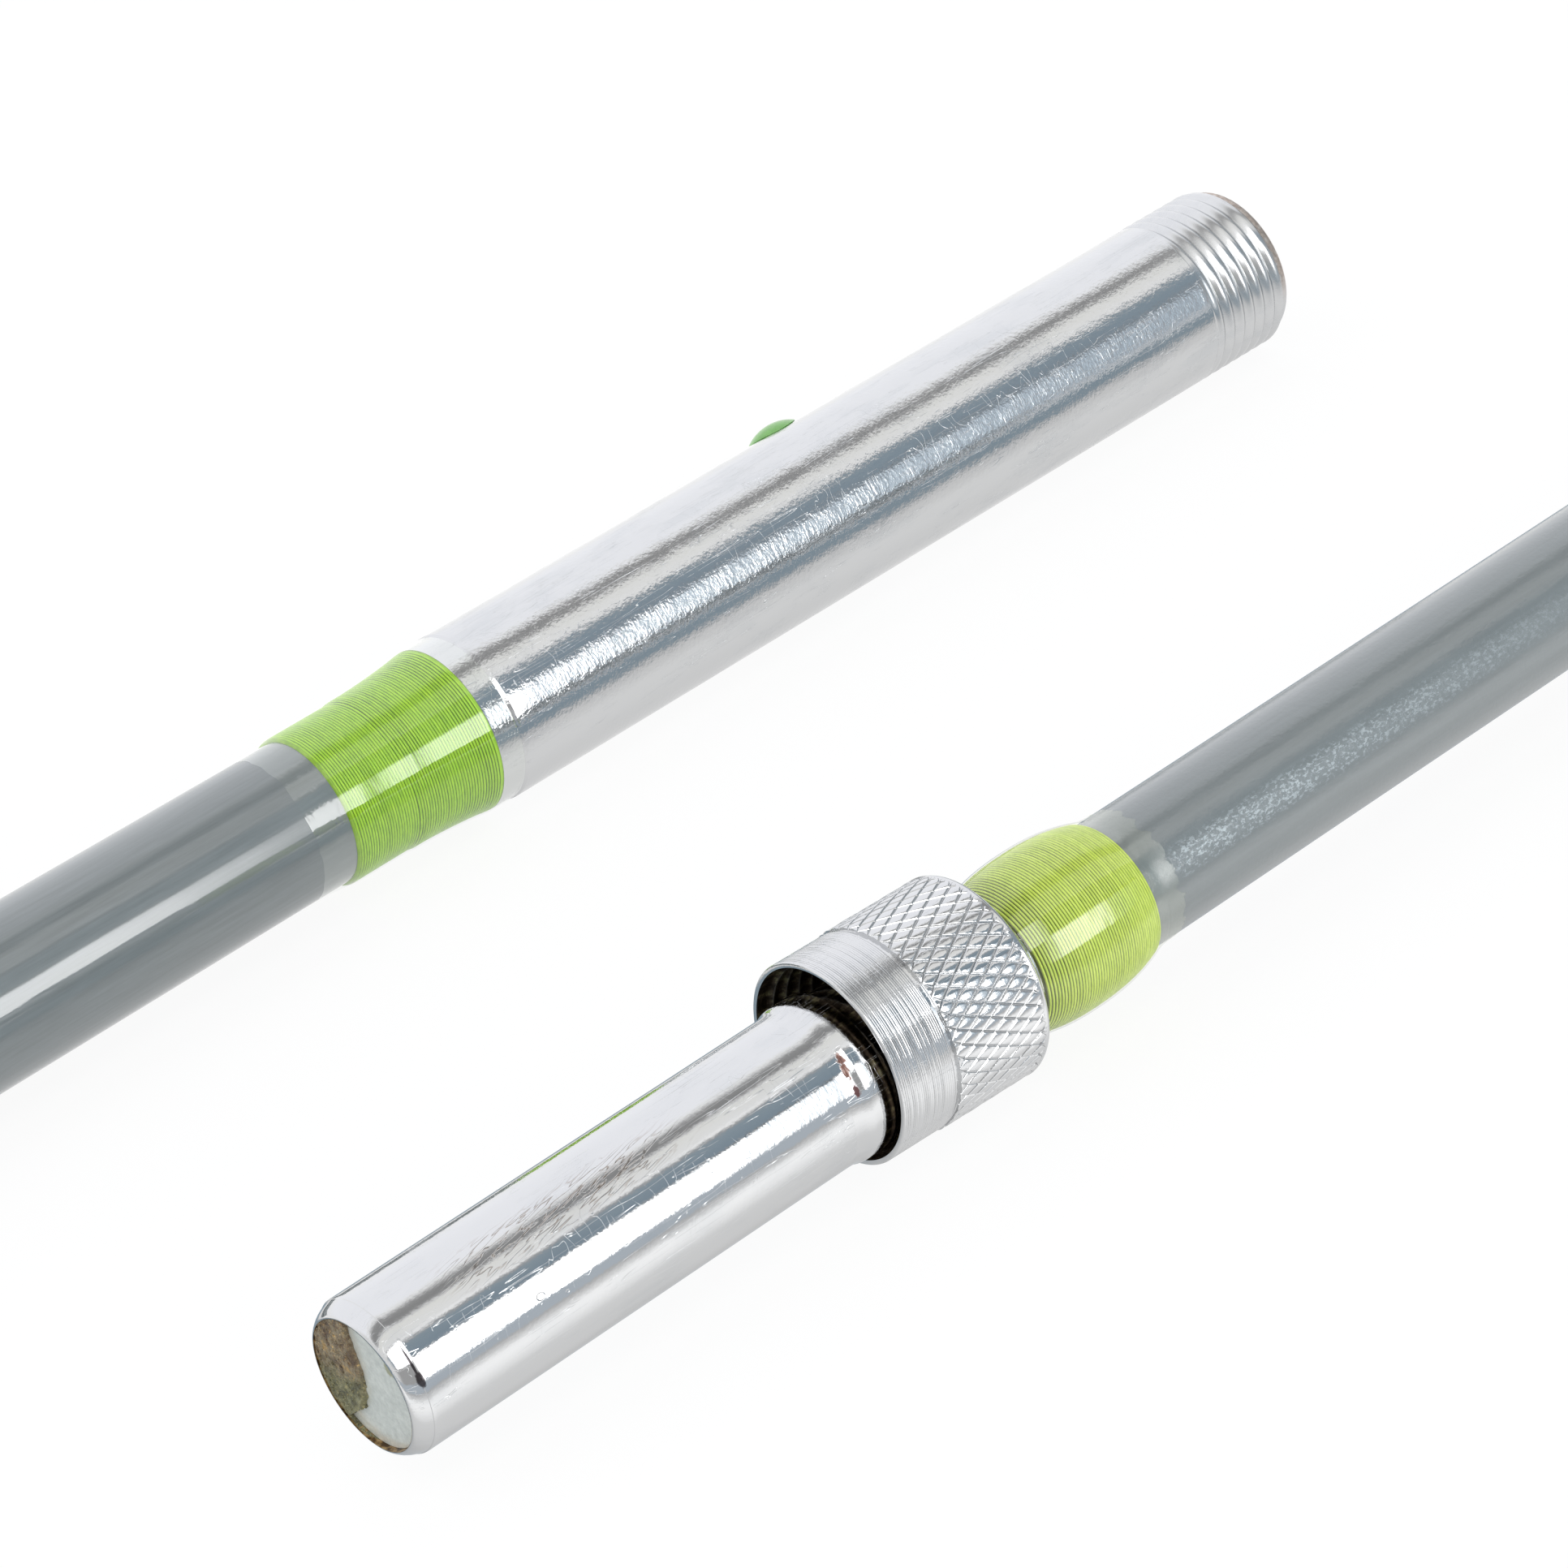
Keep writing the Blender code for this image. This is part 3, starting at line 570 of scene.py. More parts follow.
# Thread wound closely on a skirt or in a barrel; an input left out counts as zero
def windingTree():
    tree, take = newTree(
        "winding", "start", "end", "turns", "thickness", "radius", "taper", "rampPlace",
        "rampWidth", "ramp", "skirtStart", "skirtLength", "skirtRise", "middle",
        "halfLength", "drop", "power", "jitterAlong", "jitterOut", "points",
    )
    share = made(tree, "GeometryNodeInputIndex") / take.points
    turn = share * take.turns
    angle = turn * fullTurn
    even = share * (take.end - take.start) + take.start
    # Noise that differs from turn to turn and changes slowly along the thread
    around = combined(angle.do("COSINE") * 1.3, angle.do("SINE") * 1.3, turn * 1.7)
    along = around.grain(1.0, 1.0) - 0.5
    out = (around + (17.3, 5.1, 9.7)).grain(1.0, 1.0) - 0.5
    x = along * take.jitterAlong + even
    base = (take.skirtStart - x).do("MAXIMUM", 0.0) * take.taper + take.radius
    ramped = ((x - take.rampPlace) / take.rampWidth).clamped()
    skirt = ((x - take.skirtStart) / take.skirtLength).clamped()
    flared = skirt * skirt * take.skirtRise + (ramped * take.ramp + base)
    offMiddle = (x - take.middle).do("ABSOLUTE") / take.halfLength
    fallen = offMiddle.do("POWER", take.power) * take.drop
    radius = out * take.jitterOut + (flared - fallen)
    wound = moveTo(pointLine(take), x, angle, radius)
    curve = made(tree, "GeometryNodeMeshToCurve", {"Mesh": wound})
    inputs = {"Resolution": 7, "Radius": take.thickness * 0.5}
    ring = made(tree, "GeometryNodeCurvePrimitiveCircle", inputs)
    inputs = {"Curve": curve, "Profile Curve": ring, "Fill Caps": True}
    tube = made(tree, "GeometryNodeCurveToMesh", inputs)
    return endTree(made(tree, "GeometryNodeSetShadeSmooth", {"Geometry": tube}), take)


# Raised diamonds laid flat in staggered rows, then wrapped round the collar
def knurlTree():
    tree, take = newTree(
        "knurl", "start", "rowStep", "around", "wrapRadius", "lowX", "highX", "backX",
        "backDrop", "leastHeight", "points", "seed",
    )
    index = made(tree, "GeometryNodeInputIndex")
    row = ((index + 0.5) / take.around).do("FLOOR")
    column = index - row * take.around
    stagger = row.do("MODULO", 2.0) * 0.5
    pitch = take.wrapRadius * fullTurn / take.around
    spot = combined(row * take.rowStep + take.start, (column + stagger) * pitch)
    inputs = {"Geometry": pointLine(take), "Position": spot}
    laid = made(tree, "GeometryNodeSetPosition", inputs)
    height = randomValue(take, "FLOAT", take.leastHeight, 1.0, ID=index)
    inputs = {"Points": laid, "Instance": take.geometry, "Scale": combined(1.0, 1.0, height)}
    placed = made(tree, "GeometryNodeInstanceOnPoints", inputs)
    solid = made(tree, "GeometryNodeRealizeInstances", {"Geometry": placed})
    x, y, z = made(tree, "GeometryNodeInputPosition").parts()
    kept = x.do("MAXIMUM", take.lowX).do("MINIMUM", take.highX)
    beyond = (kept - take.backX).do("MAXIMUM", 0.0)
    radius = take.wrapRadius + z - beyond * beyond * take.backDrop
    return endTree(moveTo(solid, kept, y / take.wrapRadius, radius), take)


# Grains scattered over a surface, the instance taken from another object
def grainTree():
    tree, take = newTree("grains", "density", "least", "most", "instance", "seed")
    inputs = {"Mesh": take.geometry, "Density": take.density, "Seed": take.seed}
    points = made(tree, "GeometryNodeDistributePointsOnFaces", inputs, "Points")
    inputs = {"Object": take.instance}
    shape = made(tree, "GeometryNodeObjectInfo", inputs, "Geometry", transform_space="ORIGINAL")
    size = randomValue(take, "FLOAT", take.least, take.most)
    turn = randomValue(take, "FLOAT_VECTOR", (0.0, 0.0, 0.0), (6.28, 6.28, 6.28))
    inputs = {"Points": points, "Instance": shape, "Rotation": turn, "Scale": size}
    placed = made(tree, "GeometryNodeInstanceOnPoints", inputs)
    solid = made(tree, "GeometryNodeRealizeInstances", {"Geometry": placed})
    both = put(tree, "GeometryNodeJoinGeometry")
    feed(both.inputs[0], take.geometry)
    feed(both.inputs[0], solid)
    return endTree(Field(both.outputs[0]), take)


screwThread = threadTree()
winding = windingTree()
knurl = knurlTree()
grains = grainTree()


# ---- materials

# Material whose shader inputs a look makes from the position, given in the section's
# own millimetres
def paint(name, section, look, *more):
    material = bpy.data.materials.new(name)
    material.use_nodes = True
    tree = material.node_tree
    place = places[section]
    spot = made(tree, "Mapping", {
        "Vector": made(tree, "TexCoord", output="Object"),
        "Location": tuple(place.translation),
        "Rotation": tuple(place.to_euler()),
        "Scale": (millimetre, millimetre, millimetre),
    }, vector_type="TEXTURE")
    inputs = tree.nodes["Principled BSDF"].inputs
    for key, value in look(spot, *more).items():
        feed(inputs[key], value)
    return material


# Height in millimetres as a bumped normal
def bumped(height):
    inputs = {"Strength": 1.0, "Distance": millimetre, "Height": height}
    return made(height.tree, "Bump", inputs)


plateLook = Settings(tint=(0.62, 0.625, 0.63), dull=(0.575, 0.585, 0.595))


# Bright plating with waves, fine grain and scratches, given in millimetres
def plating(spot, look, extras):
    along = spot * (0.33, 1.0, 1.0)
    worn = along.grain(look.blotch, 4.0, 0.6)
    scratches = (spot * (0.12, 2.2, 2.2)).hairlines(0.006)
    crossing = (spot * (1.1, 0.5, 0.22)).hairlines(0.0035)
    some = scratches.do("MAXIMUM", crossing * 0.45) * worn.span(0.42, 0.62)
    scale, patchScale, depth = look.brush
    brushed = (spot * (4.5, 1.0, 1.0)).grain(scale, 3.0, 0.6)
    patchy = (spot + (31.0, 7.0, 3.0)).grain(patchScale)
    brush = brushed * patchy.span(0.38, 0.62, 0.35, 1.0) * depth
    layers = along.layer(look.wave, 1.0) + spot.layer(look.grain, 3.0, 0.6) + brush
    state = {
        "Base Color": mixColour(worn.span(0.45, 0.75), plateLook.tint, plateLook.dull),
        "Metallic": 1.0,
        "Roughness": worn.span(0.35, 0.70, *look.rough),
        "height": layers - some * look.scratch,
    }
    extras(spot, state)
    return {"Normal": bumped(state.pop("height")), **state}


def tinted(state, share, colour):
    state["Base Color"] = mixColour(share, state["Base Color"], colour)


# Copper and brown where the mouth's lip is worn through, on its upper side
lipWear = Settings(
    start=-0.55, end=-0.30, angle=105.0, strength=0.75, rough=0.22,
    dark=(0.30, 0.22, 0.17), middle=(0.50, 0.40, 0.33), light=(0.60, 0.54, 0.49),
)


def wornLip(spot, state):
    s = lipWear
    x = spot.parts()[0]
    edge = (spot.grain(2.5, 3.0) * 0.5 + x).span(s.start, s.end)
    worn = edge * spot.facing(s.angle).span(-0.1, 0.45)
    copper = spot.grain(3.0, 3.0).ramp((0.35, s.dark), (0.55, s.middle), (0.7, s.light))
    tinted(state, worn * s.strength, copper)
    # The plating is duller towards the thread, and rolling has smoothed the thread
    duller = x.span(-16.0, -5.0, 0.0, 0.07) + x.span(-7.6, -7.0, 0.0, 0.10)
    state["Roughness"] = worn * s.rough + state["Roughness"] + duller
    state["height"] = state["height"] * x.span(-7.8, -7.2, 1.0, 0.1)


# Rust on the shoulder where the collar's lip rubs it. A mark is its place along the
# rod, angle, radius, size and raggedness
shoulderRust = Settings(
    first=(32.72, 139.0, 5.0, (0.24, 0.50), 0.9),
    second=(32.60, 147.0, 5.0, (0.20, 0.55), 0.9),
    maroon=(32.62, 162.0, 5.0, (0.22, 0.40), 0.6), maroonTint=(0.07, 0.015, 0.015),
    dark=(0.07, 0.022, 0.015), middle=(0.20, 0.085, 0.06), light=(0.48, 0.38, 0.35),
    lessMetal=0.85, rough=0.35, rise=0.010,
)


def rustedShoulder(spot, state):
    s = shoulderRust
    rust = spot.patch(*s.first)
    rust = rust.do("MAXIMUM", spot.patch(*s.second))
    maroon = spot.patch(*s.maroon)
    streak = (spot * (3.0, 0.8, 0.8)).grain(2.0, 4.0)
    brown = streak.ramp((0.38, s.dark), (0.52, s.middle), (0.64, s.light))
    tinted(state, rust, brown)
    tinted(state, maroon, s.maroonTint)
    marked = rust.do("MAXIMUM", maroon)
    state["Metallic"] = 1.0 - marked * s.lessMetal
    state["Roughness"] = marked * s.rough + state["Roughness"]
    state["height"] = marked * streak * s.rise + state["height"]


# Dents, a painted dark reflection at the nose's crease, brown scratches and a stained inside on
# the
#  plug. A mark is its place along the rod, angle, radius, size and raggedness
plugMarks = Settings(
    dent=(9.5, 159.0, 4.86, (0.30, 0.22), 0.1),
    smallDent=(11.1, 166.0, 4.86, (0.12, 0.10), 0.1), dentDepth=0.05,
    # A blob and a thin line of painted dark reflection at the crease, and their colour
    dirt=(1.02, 161.0, 4.8, (0.24, 0.52), 0.3),
    dirtLine=(0.98, 149.0, 4.8, (0.07, 1.1), 0.1), dirtTint=(0.03, 0.02, 0.025),
    scratchAngle=117.0, scratchFrom=(4.0, 9.0), scratchTo=(24.0, 17.0),
    scratchTint=(0.22, 0.15, 0.10), inside=(4.125, 4.16),
    dark=(0.10, 0.06, 0.03), middle=(0.42, 0.27, 0.12), light=(0.62, 0.45, 0.24),
)


def dentedPlug(spot, state):
    s = plugMarks
    x = spot.parts()[0]
    dent = spot.patch(*s.dent)
    small = spot.patch(*s.smallDent)
    # Painted dark reflection: a dark blob and a thin dark line along the nose's crease
    dirt = spot.patch(*s.dirt)
    dirt = dirt.do("MAXIMUM", spot.patch(*s.dirtLine))
    tinted(state, dirt * 0.9, s.dirtTint)
    # Fine slanting scratches with brown dirt, on the side that faces up
    aims = ((1.0, -4.2, -2.3), (0.42, 0.28, 0.15), (0.0, 0.4, -0.8))
    field = combined(*(spot.dot(aim) for aim in aims))
    reach = x.span(*s.scratchFrom) * x.span(*s.scratchTo)
    rubbed = spot.facing(s.scratchAngle).span(0.955, 0.995) * reach * field.hairlines(0.05)
    tinted(state, rubbed * 0.6, s.scratchTint)
    dents = (dent + small * 0.5) * -s.dentDepth
    state["height"] = rubbed * -0.006 + (dents + state["height"])
    inside = spot.fromAxis().span(*s.inside, 1.0, 0.0)
    stain = spot.grain(2.0, 3.0).ramp((0.40, s.dark), (0.55, s.middle), (0.68, s.light))
    tinted(state, inside, stain)
    state["Roughness"] = inside * 0.25 + state["Roughness"]


# Dark grease on the collar's inside; its olive-gold flecks are painted glints, and the paler
# thread crests are a painted highlight
collarGrease = Settings(
    inside=(6.085, 6.125), crests=(5.86, 5.78), crestTint=(0.45, 0.42, 0.36), rough=0.42,
    dark=(0.045, 0.031, 0.021), middle=(0.12, 0.085, 0.055), light=(0.32, 0.27, 0.14),
)


def greasedCollar(spot, state):
    s = collarGrease
    radius = spot.fromAxis()
    inside = radius.span(*s.inside, 1.0, 0.0)
    smear = (spot * (0.5, 1.0, 1.0)).grain(1.6, 4.0, 0.6)
    # The olive-gold end of the grease ramp is a painted glint
    grease = smear.ramp((0.40, s.dark), (0.54, s.middle), (0.64, s.light))
    # Thread crests painted paler: a painted highlight on the inside thread
    lines = mixColour(radius.span(*s.crests) * 0.6, grease, s.crestTint)
    tinted(state, inside, lines)
    state["Roughness"] = state["Roughness"].do("MAXIMUM", inside * s.rough)


# Lacquered glass fibre; the cut ends show the fibres
def fibreRod(spot, look):
    x = spot.parts()[0]
    streak = (spot * (0.10, 1.6, 1.6)).grain(2.0, 4.0, 0.6)
    body = streak.ramp((0.30, look.dark), (0.70, look.light))
    fibres = (spot * (0.5, 1.0, 1.0)).grain(look.fibreScale, 4.0, 0.7)
    cut = fibres.ramp((0.35, look.cutDark), (0.65, look.cutLight))
    isCut = x.span(*look.cutEnd)
    if "farEnd" in look:
        isCut = isCut.do("MAXIMUM", x.span(*look.farEnd))
    if "stain" in look:
        cut = mixColour(spot.patch(*look.stain), cut, (0.36, 0.35, 0.20))
    # Pale flecks painted in a strip where the lamp's highlight falls on the lacquer: a painted
    # sparkling highlight that fades along the rod
    if "scuff" in look:
        angle, near, far = look.scuff
        strip = spot.facing(angle).span(0.962, 1.0) * x.span(far, near) * x.span(near - 1.0, near)
        paintedSparkleFlecks = (spot * (0.8, 1.5, 1.5)).grain(3.2, 3.0, 0.75).span(0.49, 0.62)
        body = mixColour(strip * paintedSparkleFlecks * 0.75, body, (0.50, 0.57, 0.60))
    waves = (spot * (0.4, 1.0, 1.0)).layer(look.wave, 1.0)
    normal = bumped(waves + spot.layer(look.grain, 3.0, 0.65))
    return {
        "Base Color": mixColour(isCut, body, cut), "Roughness": streak * 0.15 + 0.30,
        "Coat Weight": 1.0, "Coat Roughness": look.coatRough, "Coat IOR": 1.7,
        "Coat Normal": normal, "Normal": normal,
    }


# How softly the painted shade between the turns fades out at the ends of the winding, and how
# much painted shade is laid on beyond them
paintedShadeEnds = Settings(soft=0.08, dark=0.25)


def sewingThread(spot, look):
    twist = (spot * (6.0, 1.2, 1.2)).grain(1.0, 4.0, 0.7)
    colour = twist.ramp((0.30, look.dark), (0.50, look.middle), (0.70, look.light))
    # Painted shade between the turns, where the surface turns away from the rod's axis
    x = spot.parts()[0]
    crest = made(spot.tree, "NewGeometry", output="Normal").dot(spot.outward())
    low, high = look.ends
    soft = paintedShadeEnds.soft
    within = x.span(low - soft, low + soft) * x.span(high + soft, high - soft)
    paintedShadeBetweenTurns = within * crest.span(0.92, 0.30, 0.0, 1.0 - look.gap)
    # Past the ends of the winding a flat painted shade stands in for the shade between turns
    dark = paintedShadeBetweenTurns + (1.0 - within) * paintedShadeEnds.dark
    # Some turns are darker than others
    strip = combined(x * 3.4, None) + spot * (0.0, 0.05, 0.05)
    odd = strip.grain(1.0, 2.0, 0.7).span(0.36, 0.58, 0.12, 0.0)
    shade = 1.0 - dark - odd
    return {
        "Base Color": mixColour(1.0, colour, shade, "MULTIPLY"), "Roughness": 0.55,
        "Normal": bumped(spot.grain(14.0, 2.0, 0.6) * 0.012),
    }


# Clear varnish: what lies under it shows through, and its surface mirrors
def varnish(spot, look):
    tree = spot.tree
    x = spot.parts()[0]
    rough = (spot * (1.0, 0.6, 0.6)).grain(1.3, 3.0).span(0.35, 0.70, *look.rough)
    if "dull" in look:
        low, high, extra = look.dull
        rough = rough + x.span(low, high, 0.0, extra)
    height = (spot * (1.0, 0.5, 0.5)).layer(look.wave, 1.0) + spot.layer(look.grain)
    if "ripple" in look:
        low, high, depth = look.ripple
        streaks = (spot * (1.5, 0.7, 0.7)).grain(1.0)
        height = streaks * x.span(low, high) * depth + height
    if "lean" in look:
        begin, rate = look.lean
        beyond = (x - begin).do("MAXIMUM", 0.0)
        height = beyond * beyond * rate + height
    normal = bumped(height)
    mirror = made(tree, "Fresnel", {"IOR": 1.7, "Normal": normal})
    isBack = made(tree, "NewGeometry", output="Backfacing")
    clear = made(tree, "BsdfTransparent", {"Color": look.tint})
    metal = tree.nodes["Principled BSDF"].outputs[0]
    inputs = {0: mirror * (1.0 - isBack), 1: clear, 2: metal}
    mixed = made(tree, "MixShader", inputs)
    feed(tree.nodes["Material Output"].inputs["Surface"], mixed)
    return {"Base Color": (1.0,) * 3, "Metallic": 1.0, "Roughness": rough, "Normal": normal}


def enamel(spot):
    shade = spot.grain(1.4, 3.0).ramp((0.35, (0.12, 0.38, 0.05)), (0.65, (0.18, 0.48, 0.09)))
    return {
        "Base Color": shade, "Roughness": 0.35, "Coat Weight": 0.5, "Coat Roughness": 0.12,
        "Normal": bumped(spot.grain(1.2) * 0.05),
    }


def oldCement(spot):
    brown = spot.grain(1.1, 4.0, 0.65).ramp(
        (0.36, (0.13, 0.085, 0.05)), (0.46, (0.25, 0.18, 0.10)),
        (0.56, (0.33, 0.27, 0.17)), (0.66, (0.42, 0.27, 0.10)))
    olive = spot.grain(1.6, 4.0, 0.65).ramp(
        (0.38, (0.13, 0.12, 0.06)), (0.52, (0.24, 0.23, 0.12)), (0.66, (0.33, 0.31, 0.17)))
    level = spot.grain(0.8, 3.0) * 3.0 + spot.parts()[2]
    patches = mixColour(level.span(2.4, 0.6), brown, olive)
    specks = spot.grain(6.0, 3.0, 0.7).ramp((0.35, 0.62), (0.60, 1.0), (0.70, (2.2, 1.9, 1.3)))
    return {
        "Base Color": mixColour(1.0, patches, specks, "MULTIPLY"),
        "Roughness": spot.grain(4.0, 3.0).span(0.35, 0.65, 0.25, 0.65),
        "Normal": bumped(spot.grain(5.0, 3.0, 0.6) * 0.12),
    }


# Plain turned or soft pieces inside the joint
def innerPiece(spot, look):
    mark = (spot * look.stretch).grain(1.0, 4.0, 0.6)
    return {
        "Base Color": mark.ramp((0.35, look.dark), (0.65, look.light)),
        "Roughness": mark.span(0.3, 0.7, *look.rough), "Metallic": look.metal,
        "Normal": bumped(mark * look.bump),
    }


# ---- butt section

# Butt rod
buttRod = Settings(
    start=-133.1, shoulder=-79.5, tenonEnd=-37.6, tenonRadius=4.81,
    radius=5.07, taper=0.0047, taperFrom=-79.4, edge=0.12, sides=144,
    look=Settings(
        dark=(0.145, 0.168, 0.172), light=(0.185, 0.212, 0.218), fibreScale=3.0,
        cutDark=(0.20, 0.21, 0.17), cutLight=(0.46, 0.47, 0.40),
        cutEnd=(-132.98, -133.02), coatRough=0.025, wave=(0.25, 0.06),
        grain=(5.0, 0.0015),
    ),
)


def makeButtRod(s):
    def radius(x):
        return s.radius + s.taper * (s.taperFrom - x)

    low, edge, tenon = s.start, s.edge, s.tenonRadius
    outline = [(low, 0.0), (low, radius(low) - edge), (low + edge, radius(low))]
    outline += [(x, radius(x)) for x in steps(low + 2.0, s.shoulder, 12)]
    outline += [(s.shoulder, tenon), (s.tenonEnd, tenon), (s.tenonEnd, 0.0)]
    piece = turned("butt_rod", outline, s.sides)
    material = paint("lacqueredFibreButt", "butt", fibreRod, s.look)
    finishPiece(piece, "butt", "butt_blank", material)


# Socket tube, with its skirt, turned band and rolled thread
socketTube = Settings(
    rear=-79.4, bore=4.95, skirtEdge=5.16, skirtEnd=-73.1, skirtTop=5.55,
    band=5.86, bandEnd=-71.3, bandLines=7, bandLineDepth=0.020,
    radius=6.00, bandRise=((0.12, -0.015), (0.22, 0.0)),
    threadZone=(-7.6, -0.9), lipFrom=-0.95, lipTo=-0.62, lipTop=5.72,
    lipRound=5.38, chamfer=0.15, sides=180,
    thread=Settings(
        pitch=1.0, depth=0.27, start=-7.47, end=-0.70, fade=0.5,
        leastRadius=5.6, mostRadius=6.1,
    ),
    look=Settings(
        rough=(0.05, 0.12), blotch=0.55, wave=(0.9, 0.005), grain=(3.6, 0.020),
        scratch=0.009, brush=(1.0, 0.45, 0.022),
    ),
)


def makeSocketTube(s):
    radius, bore, lip = s.radius, s.bore, s.lipTop
    outline = [(s.rear, bore)]
    shares = steps(0.0, 1.0, 12)
    outline += eased(s.rear, s.skirtEnd, s.skirtEdge, s.skirtTop, shares, lambda t: t ** 2)
    lines = (s.bandLines, s.band, s.bandLineDepth)
    outline += turnedLines(s.skirtEnd, s.bandEnd, *lines)
    outline += [(s.bandEnd + x, radius + rise) for x, rise in s.bandRise]
    outline += straight(radius, s.bandEnd + 2.0, s.threadZone[0] - 0.5, 24)
    outline += straight(radius, *s.threadZone, 240)
    shares = steps(0.0, 1.0, 8)
    outline += eased(s.lipFrom, s.lipTo, radius, lip, shares, lambda t: t * t * (3.0 - 2.0 * t))
    outline += quarterRound(0.0, s.lipTo, s.lipRound, lip, 10)[::-1][1:]
    outline += [(0.0, bore + s.chamfer), (-s.chamfer, bore)]
    outline += straight(bore, -2.0, s.rear + 1.0, 12)
    piece = turned("socket_tube_plated", outline, s.sides, isLoop=True, smoothAngle=50.0)
    material = paint("wornPlating", "butt", plating, s.look, wornLip)
    grow(piece, screwThread, s.thread, material=material)
    finishPiece(piece, "butt", "socket_tube")


# Green thread over the skirt and the rod
socketThread = Settings(
    winding=Settings(
        start=-84.5, end=-73.17, turns=54.0, thickness=0.225, radius=5.215,
        taper=0.0047, rampPlace=-79.8, rampWidth=0.4, ramp=0.09,
        skirtStart=-79.4, skirtLength=6.3, skirtRise=0.46,
        jitterAlong=0.035, jitterOut=0.014, points=3460,
    ),
    look=Settings(
        dark=(0.29, 0.57, 0.008), middle=(0.41, 0.74, 0.012),
        # The thread's look also sets how deep the painted shade between its turns is
        light=(0.50, 0.82, 0.03), gap=0.22, ends=(-84.5, -73.17),
    ),
    # Bed under the turns: its rounded start, plain part, raised end and inside
    bedRise=0.03, bedStart=-84.66, bedEnd=-73.11, rod=5.09, sides=144,
    bedHead=((0.02, -0.09), (0.10, -0.01)), bedPlain=(0.18, -0.12), bedLip=0.05,
    bedInside=((-73.11, 5.50), (-79.4, 5.15), (-80.0, 5.09)),
)


def makeSocketThread(s):
    w = s.winding

    def bed(x):
        skirt = max(x - w.skirtStart, 0.0) / w.skirtLength
        ramped = min(max((x - w.rampPlace) / w.rampWidth, 0.0), 1.0)
        taper = w.taper * max(w.skirtStart - x, 0.0)
        rise = w.radius + taper + w.ramp * ramped + w.skirtRise * skirt ** 2
        return rise + s.bedRise

    first, last = s.bedStart, s.bedEnd
    low, high = s.bedPlain
    outline = [(first, s.rod)]
    outline += [(first + x, bed(first) + rise) for x, rise in s.bedHead]
    outline += [(x, bed(x)) for x in steps(first + low, last + high, 40)]
    outline += [(last, bed(last) + s.bedLip), *s.bedInside]
    under = turned("socket_thread_bed", outline, s.sides, isLoop=True)
    piece = seedObject("socket_thread_wraps")
    material = paint("greenThread", "butt", sewingThread, s.look)
    grow(piece, winding, w, material=material)
    whole = joined([piece, under])
    finishPiece(whole, "butt", "socket_whipping")


# Varnish over the green thread, run out over the turned band
socketVarnish = Settings(
    outer=[
        (-87.40, 5.122), (-87.0, 5.131), (-86.6, 5.147), (-86.2, 5.173), (-85.8, 5.209),
        (-85.4, 5.252), (-85.0, 5.299), (-84.6, 5.346), (-84.3, 5.380), (-84.0, 5.407),
        (-83.6, 5.429), (-83.0, 5.441), (-82.5, 5.445), (-79.9, 5.445), (-79.6, 5.47),
        (-79.2, 5.525),
    ],
    # Start, end and radius on the skirt, then where it rises from, over what and how far
    skirt=(-78.8, -73.3, 5.53, -79.4, 6.3, 0.44),
    lines=(-72.95, -71.40, 7, 5.930, 0.010),
    inner=[
        (-71.32, 5.895), (-71.33, 5.84), (-73.0, 5.80), (-73.2, 5.50), (-79.4, 5.10),
        (-87.4, 5.03),
    ],
    sides=144, ragged=0.18, raggedFrom=-87.0,
    look=Settings(
        rough=(0.02, 0.06), wave=(1.4, 0.006), grain=(6.0, 0.001),
        tint=(0.985, 0.992, 0.98), ripple=(-84.2, -85.2, 0.045),
    ),
)


def makeSocketVarnish(s):
    outline = list(s.outer)
    low, high, base, rampFrom, length, rise = s.skirt
    for x in steps(low, high, 14):
        outline.append((x, base + rise * ((x - rampFrom) / length) ** 2))
    outline += turnedLines(*s.lines) + s.inner

    def wander(x, radius, angle):
        if x > s.raggedFrom:
            return x, radius
        return x + s.ragged * ringNoise(angle, 3.0, 9.0), radius

    piece = turned("socket_varnish", outline, s.sides, True, wander, 60.0)
    material = paint("clearVarnishButt", "butt", varnish, s.look)
    finishPiece(piece, "butt", "socket_whipping_coat", material)


# Drop of green enamel that marks how the rods line up
indexBead = Settings(
    x=-39.8, angle=51.0, radius=1.95, height=0.64, edge=0.03, under=-0.01,
    power=2.2, seat=6.02, rings=14, sides=64,
)


def makeIndexBead(s):
    sides = s.sides

    def spotAt(share, side, height):
        turn = fullTurn * side / sides
        x = s.x + s.radius * share * math.cos(turn)
        angle = math.radians(s.angle) + s.radius * share * math.sin(turn) / s.seat
        radius = s.seat + height
        return (x, radius * math.cos(angle), radius * math.sin(angle))

    rings = []
    for share in steps(0.0, 1.0, s.rings)[1:]:
        rise = (s.height - s.edge) * (1.0 - share ** s.power)
        rings.append((share, s.edge + rise))
    rings.append((1.0, s.under))
    verts = [spotAt(share, side, height) for share, height in rings for side in range(sides)]
    last = len(verts) - sides
    top, bottom = len(verts), len(verts) + 1
    verts += [spotAt(0.0, 0, s.height), spotAt(0.0, 0, s.under)]
    faces = []
    for side in range(sides):
        after = (side + 1) % sides
        faces += [(top, side, after), (bottom, last + after, last + side)]
        for low in range(0, last, sides):
            high = low + sides
            faces.append((low + side, high + side, high + after, low + after))
    piece = meshObject("index_bead_enamel", verts, faces)
    material = paint("greenEnamel", "butt", enamel)
    finishPiece(piece, "butt", "index_bead", material)


print("butt section")
makeButtRod(buttRod)
makeSocketTube(socketTube)
makeSocketThread(socketThread)
makeSocketVarnish(socketVarnish)
makeIndexBead(indexBead)


# ---- tip section

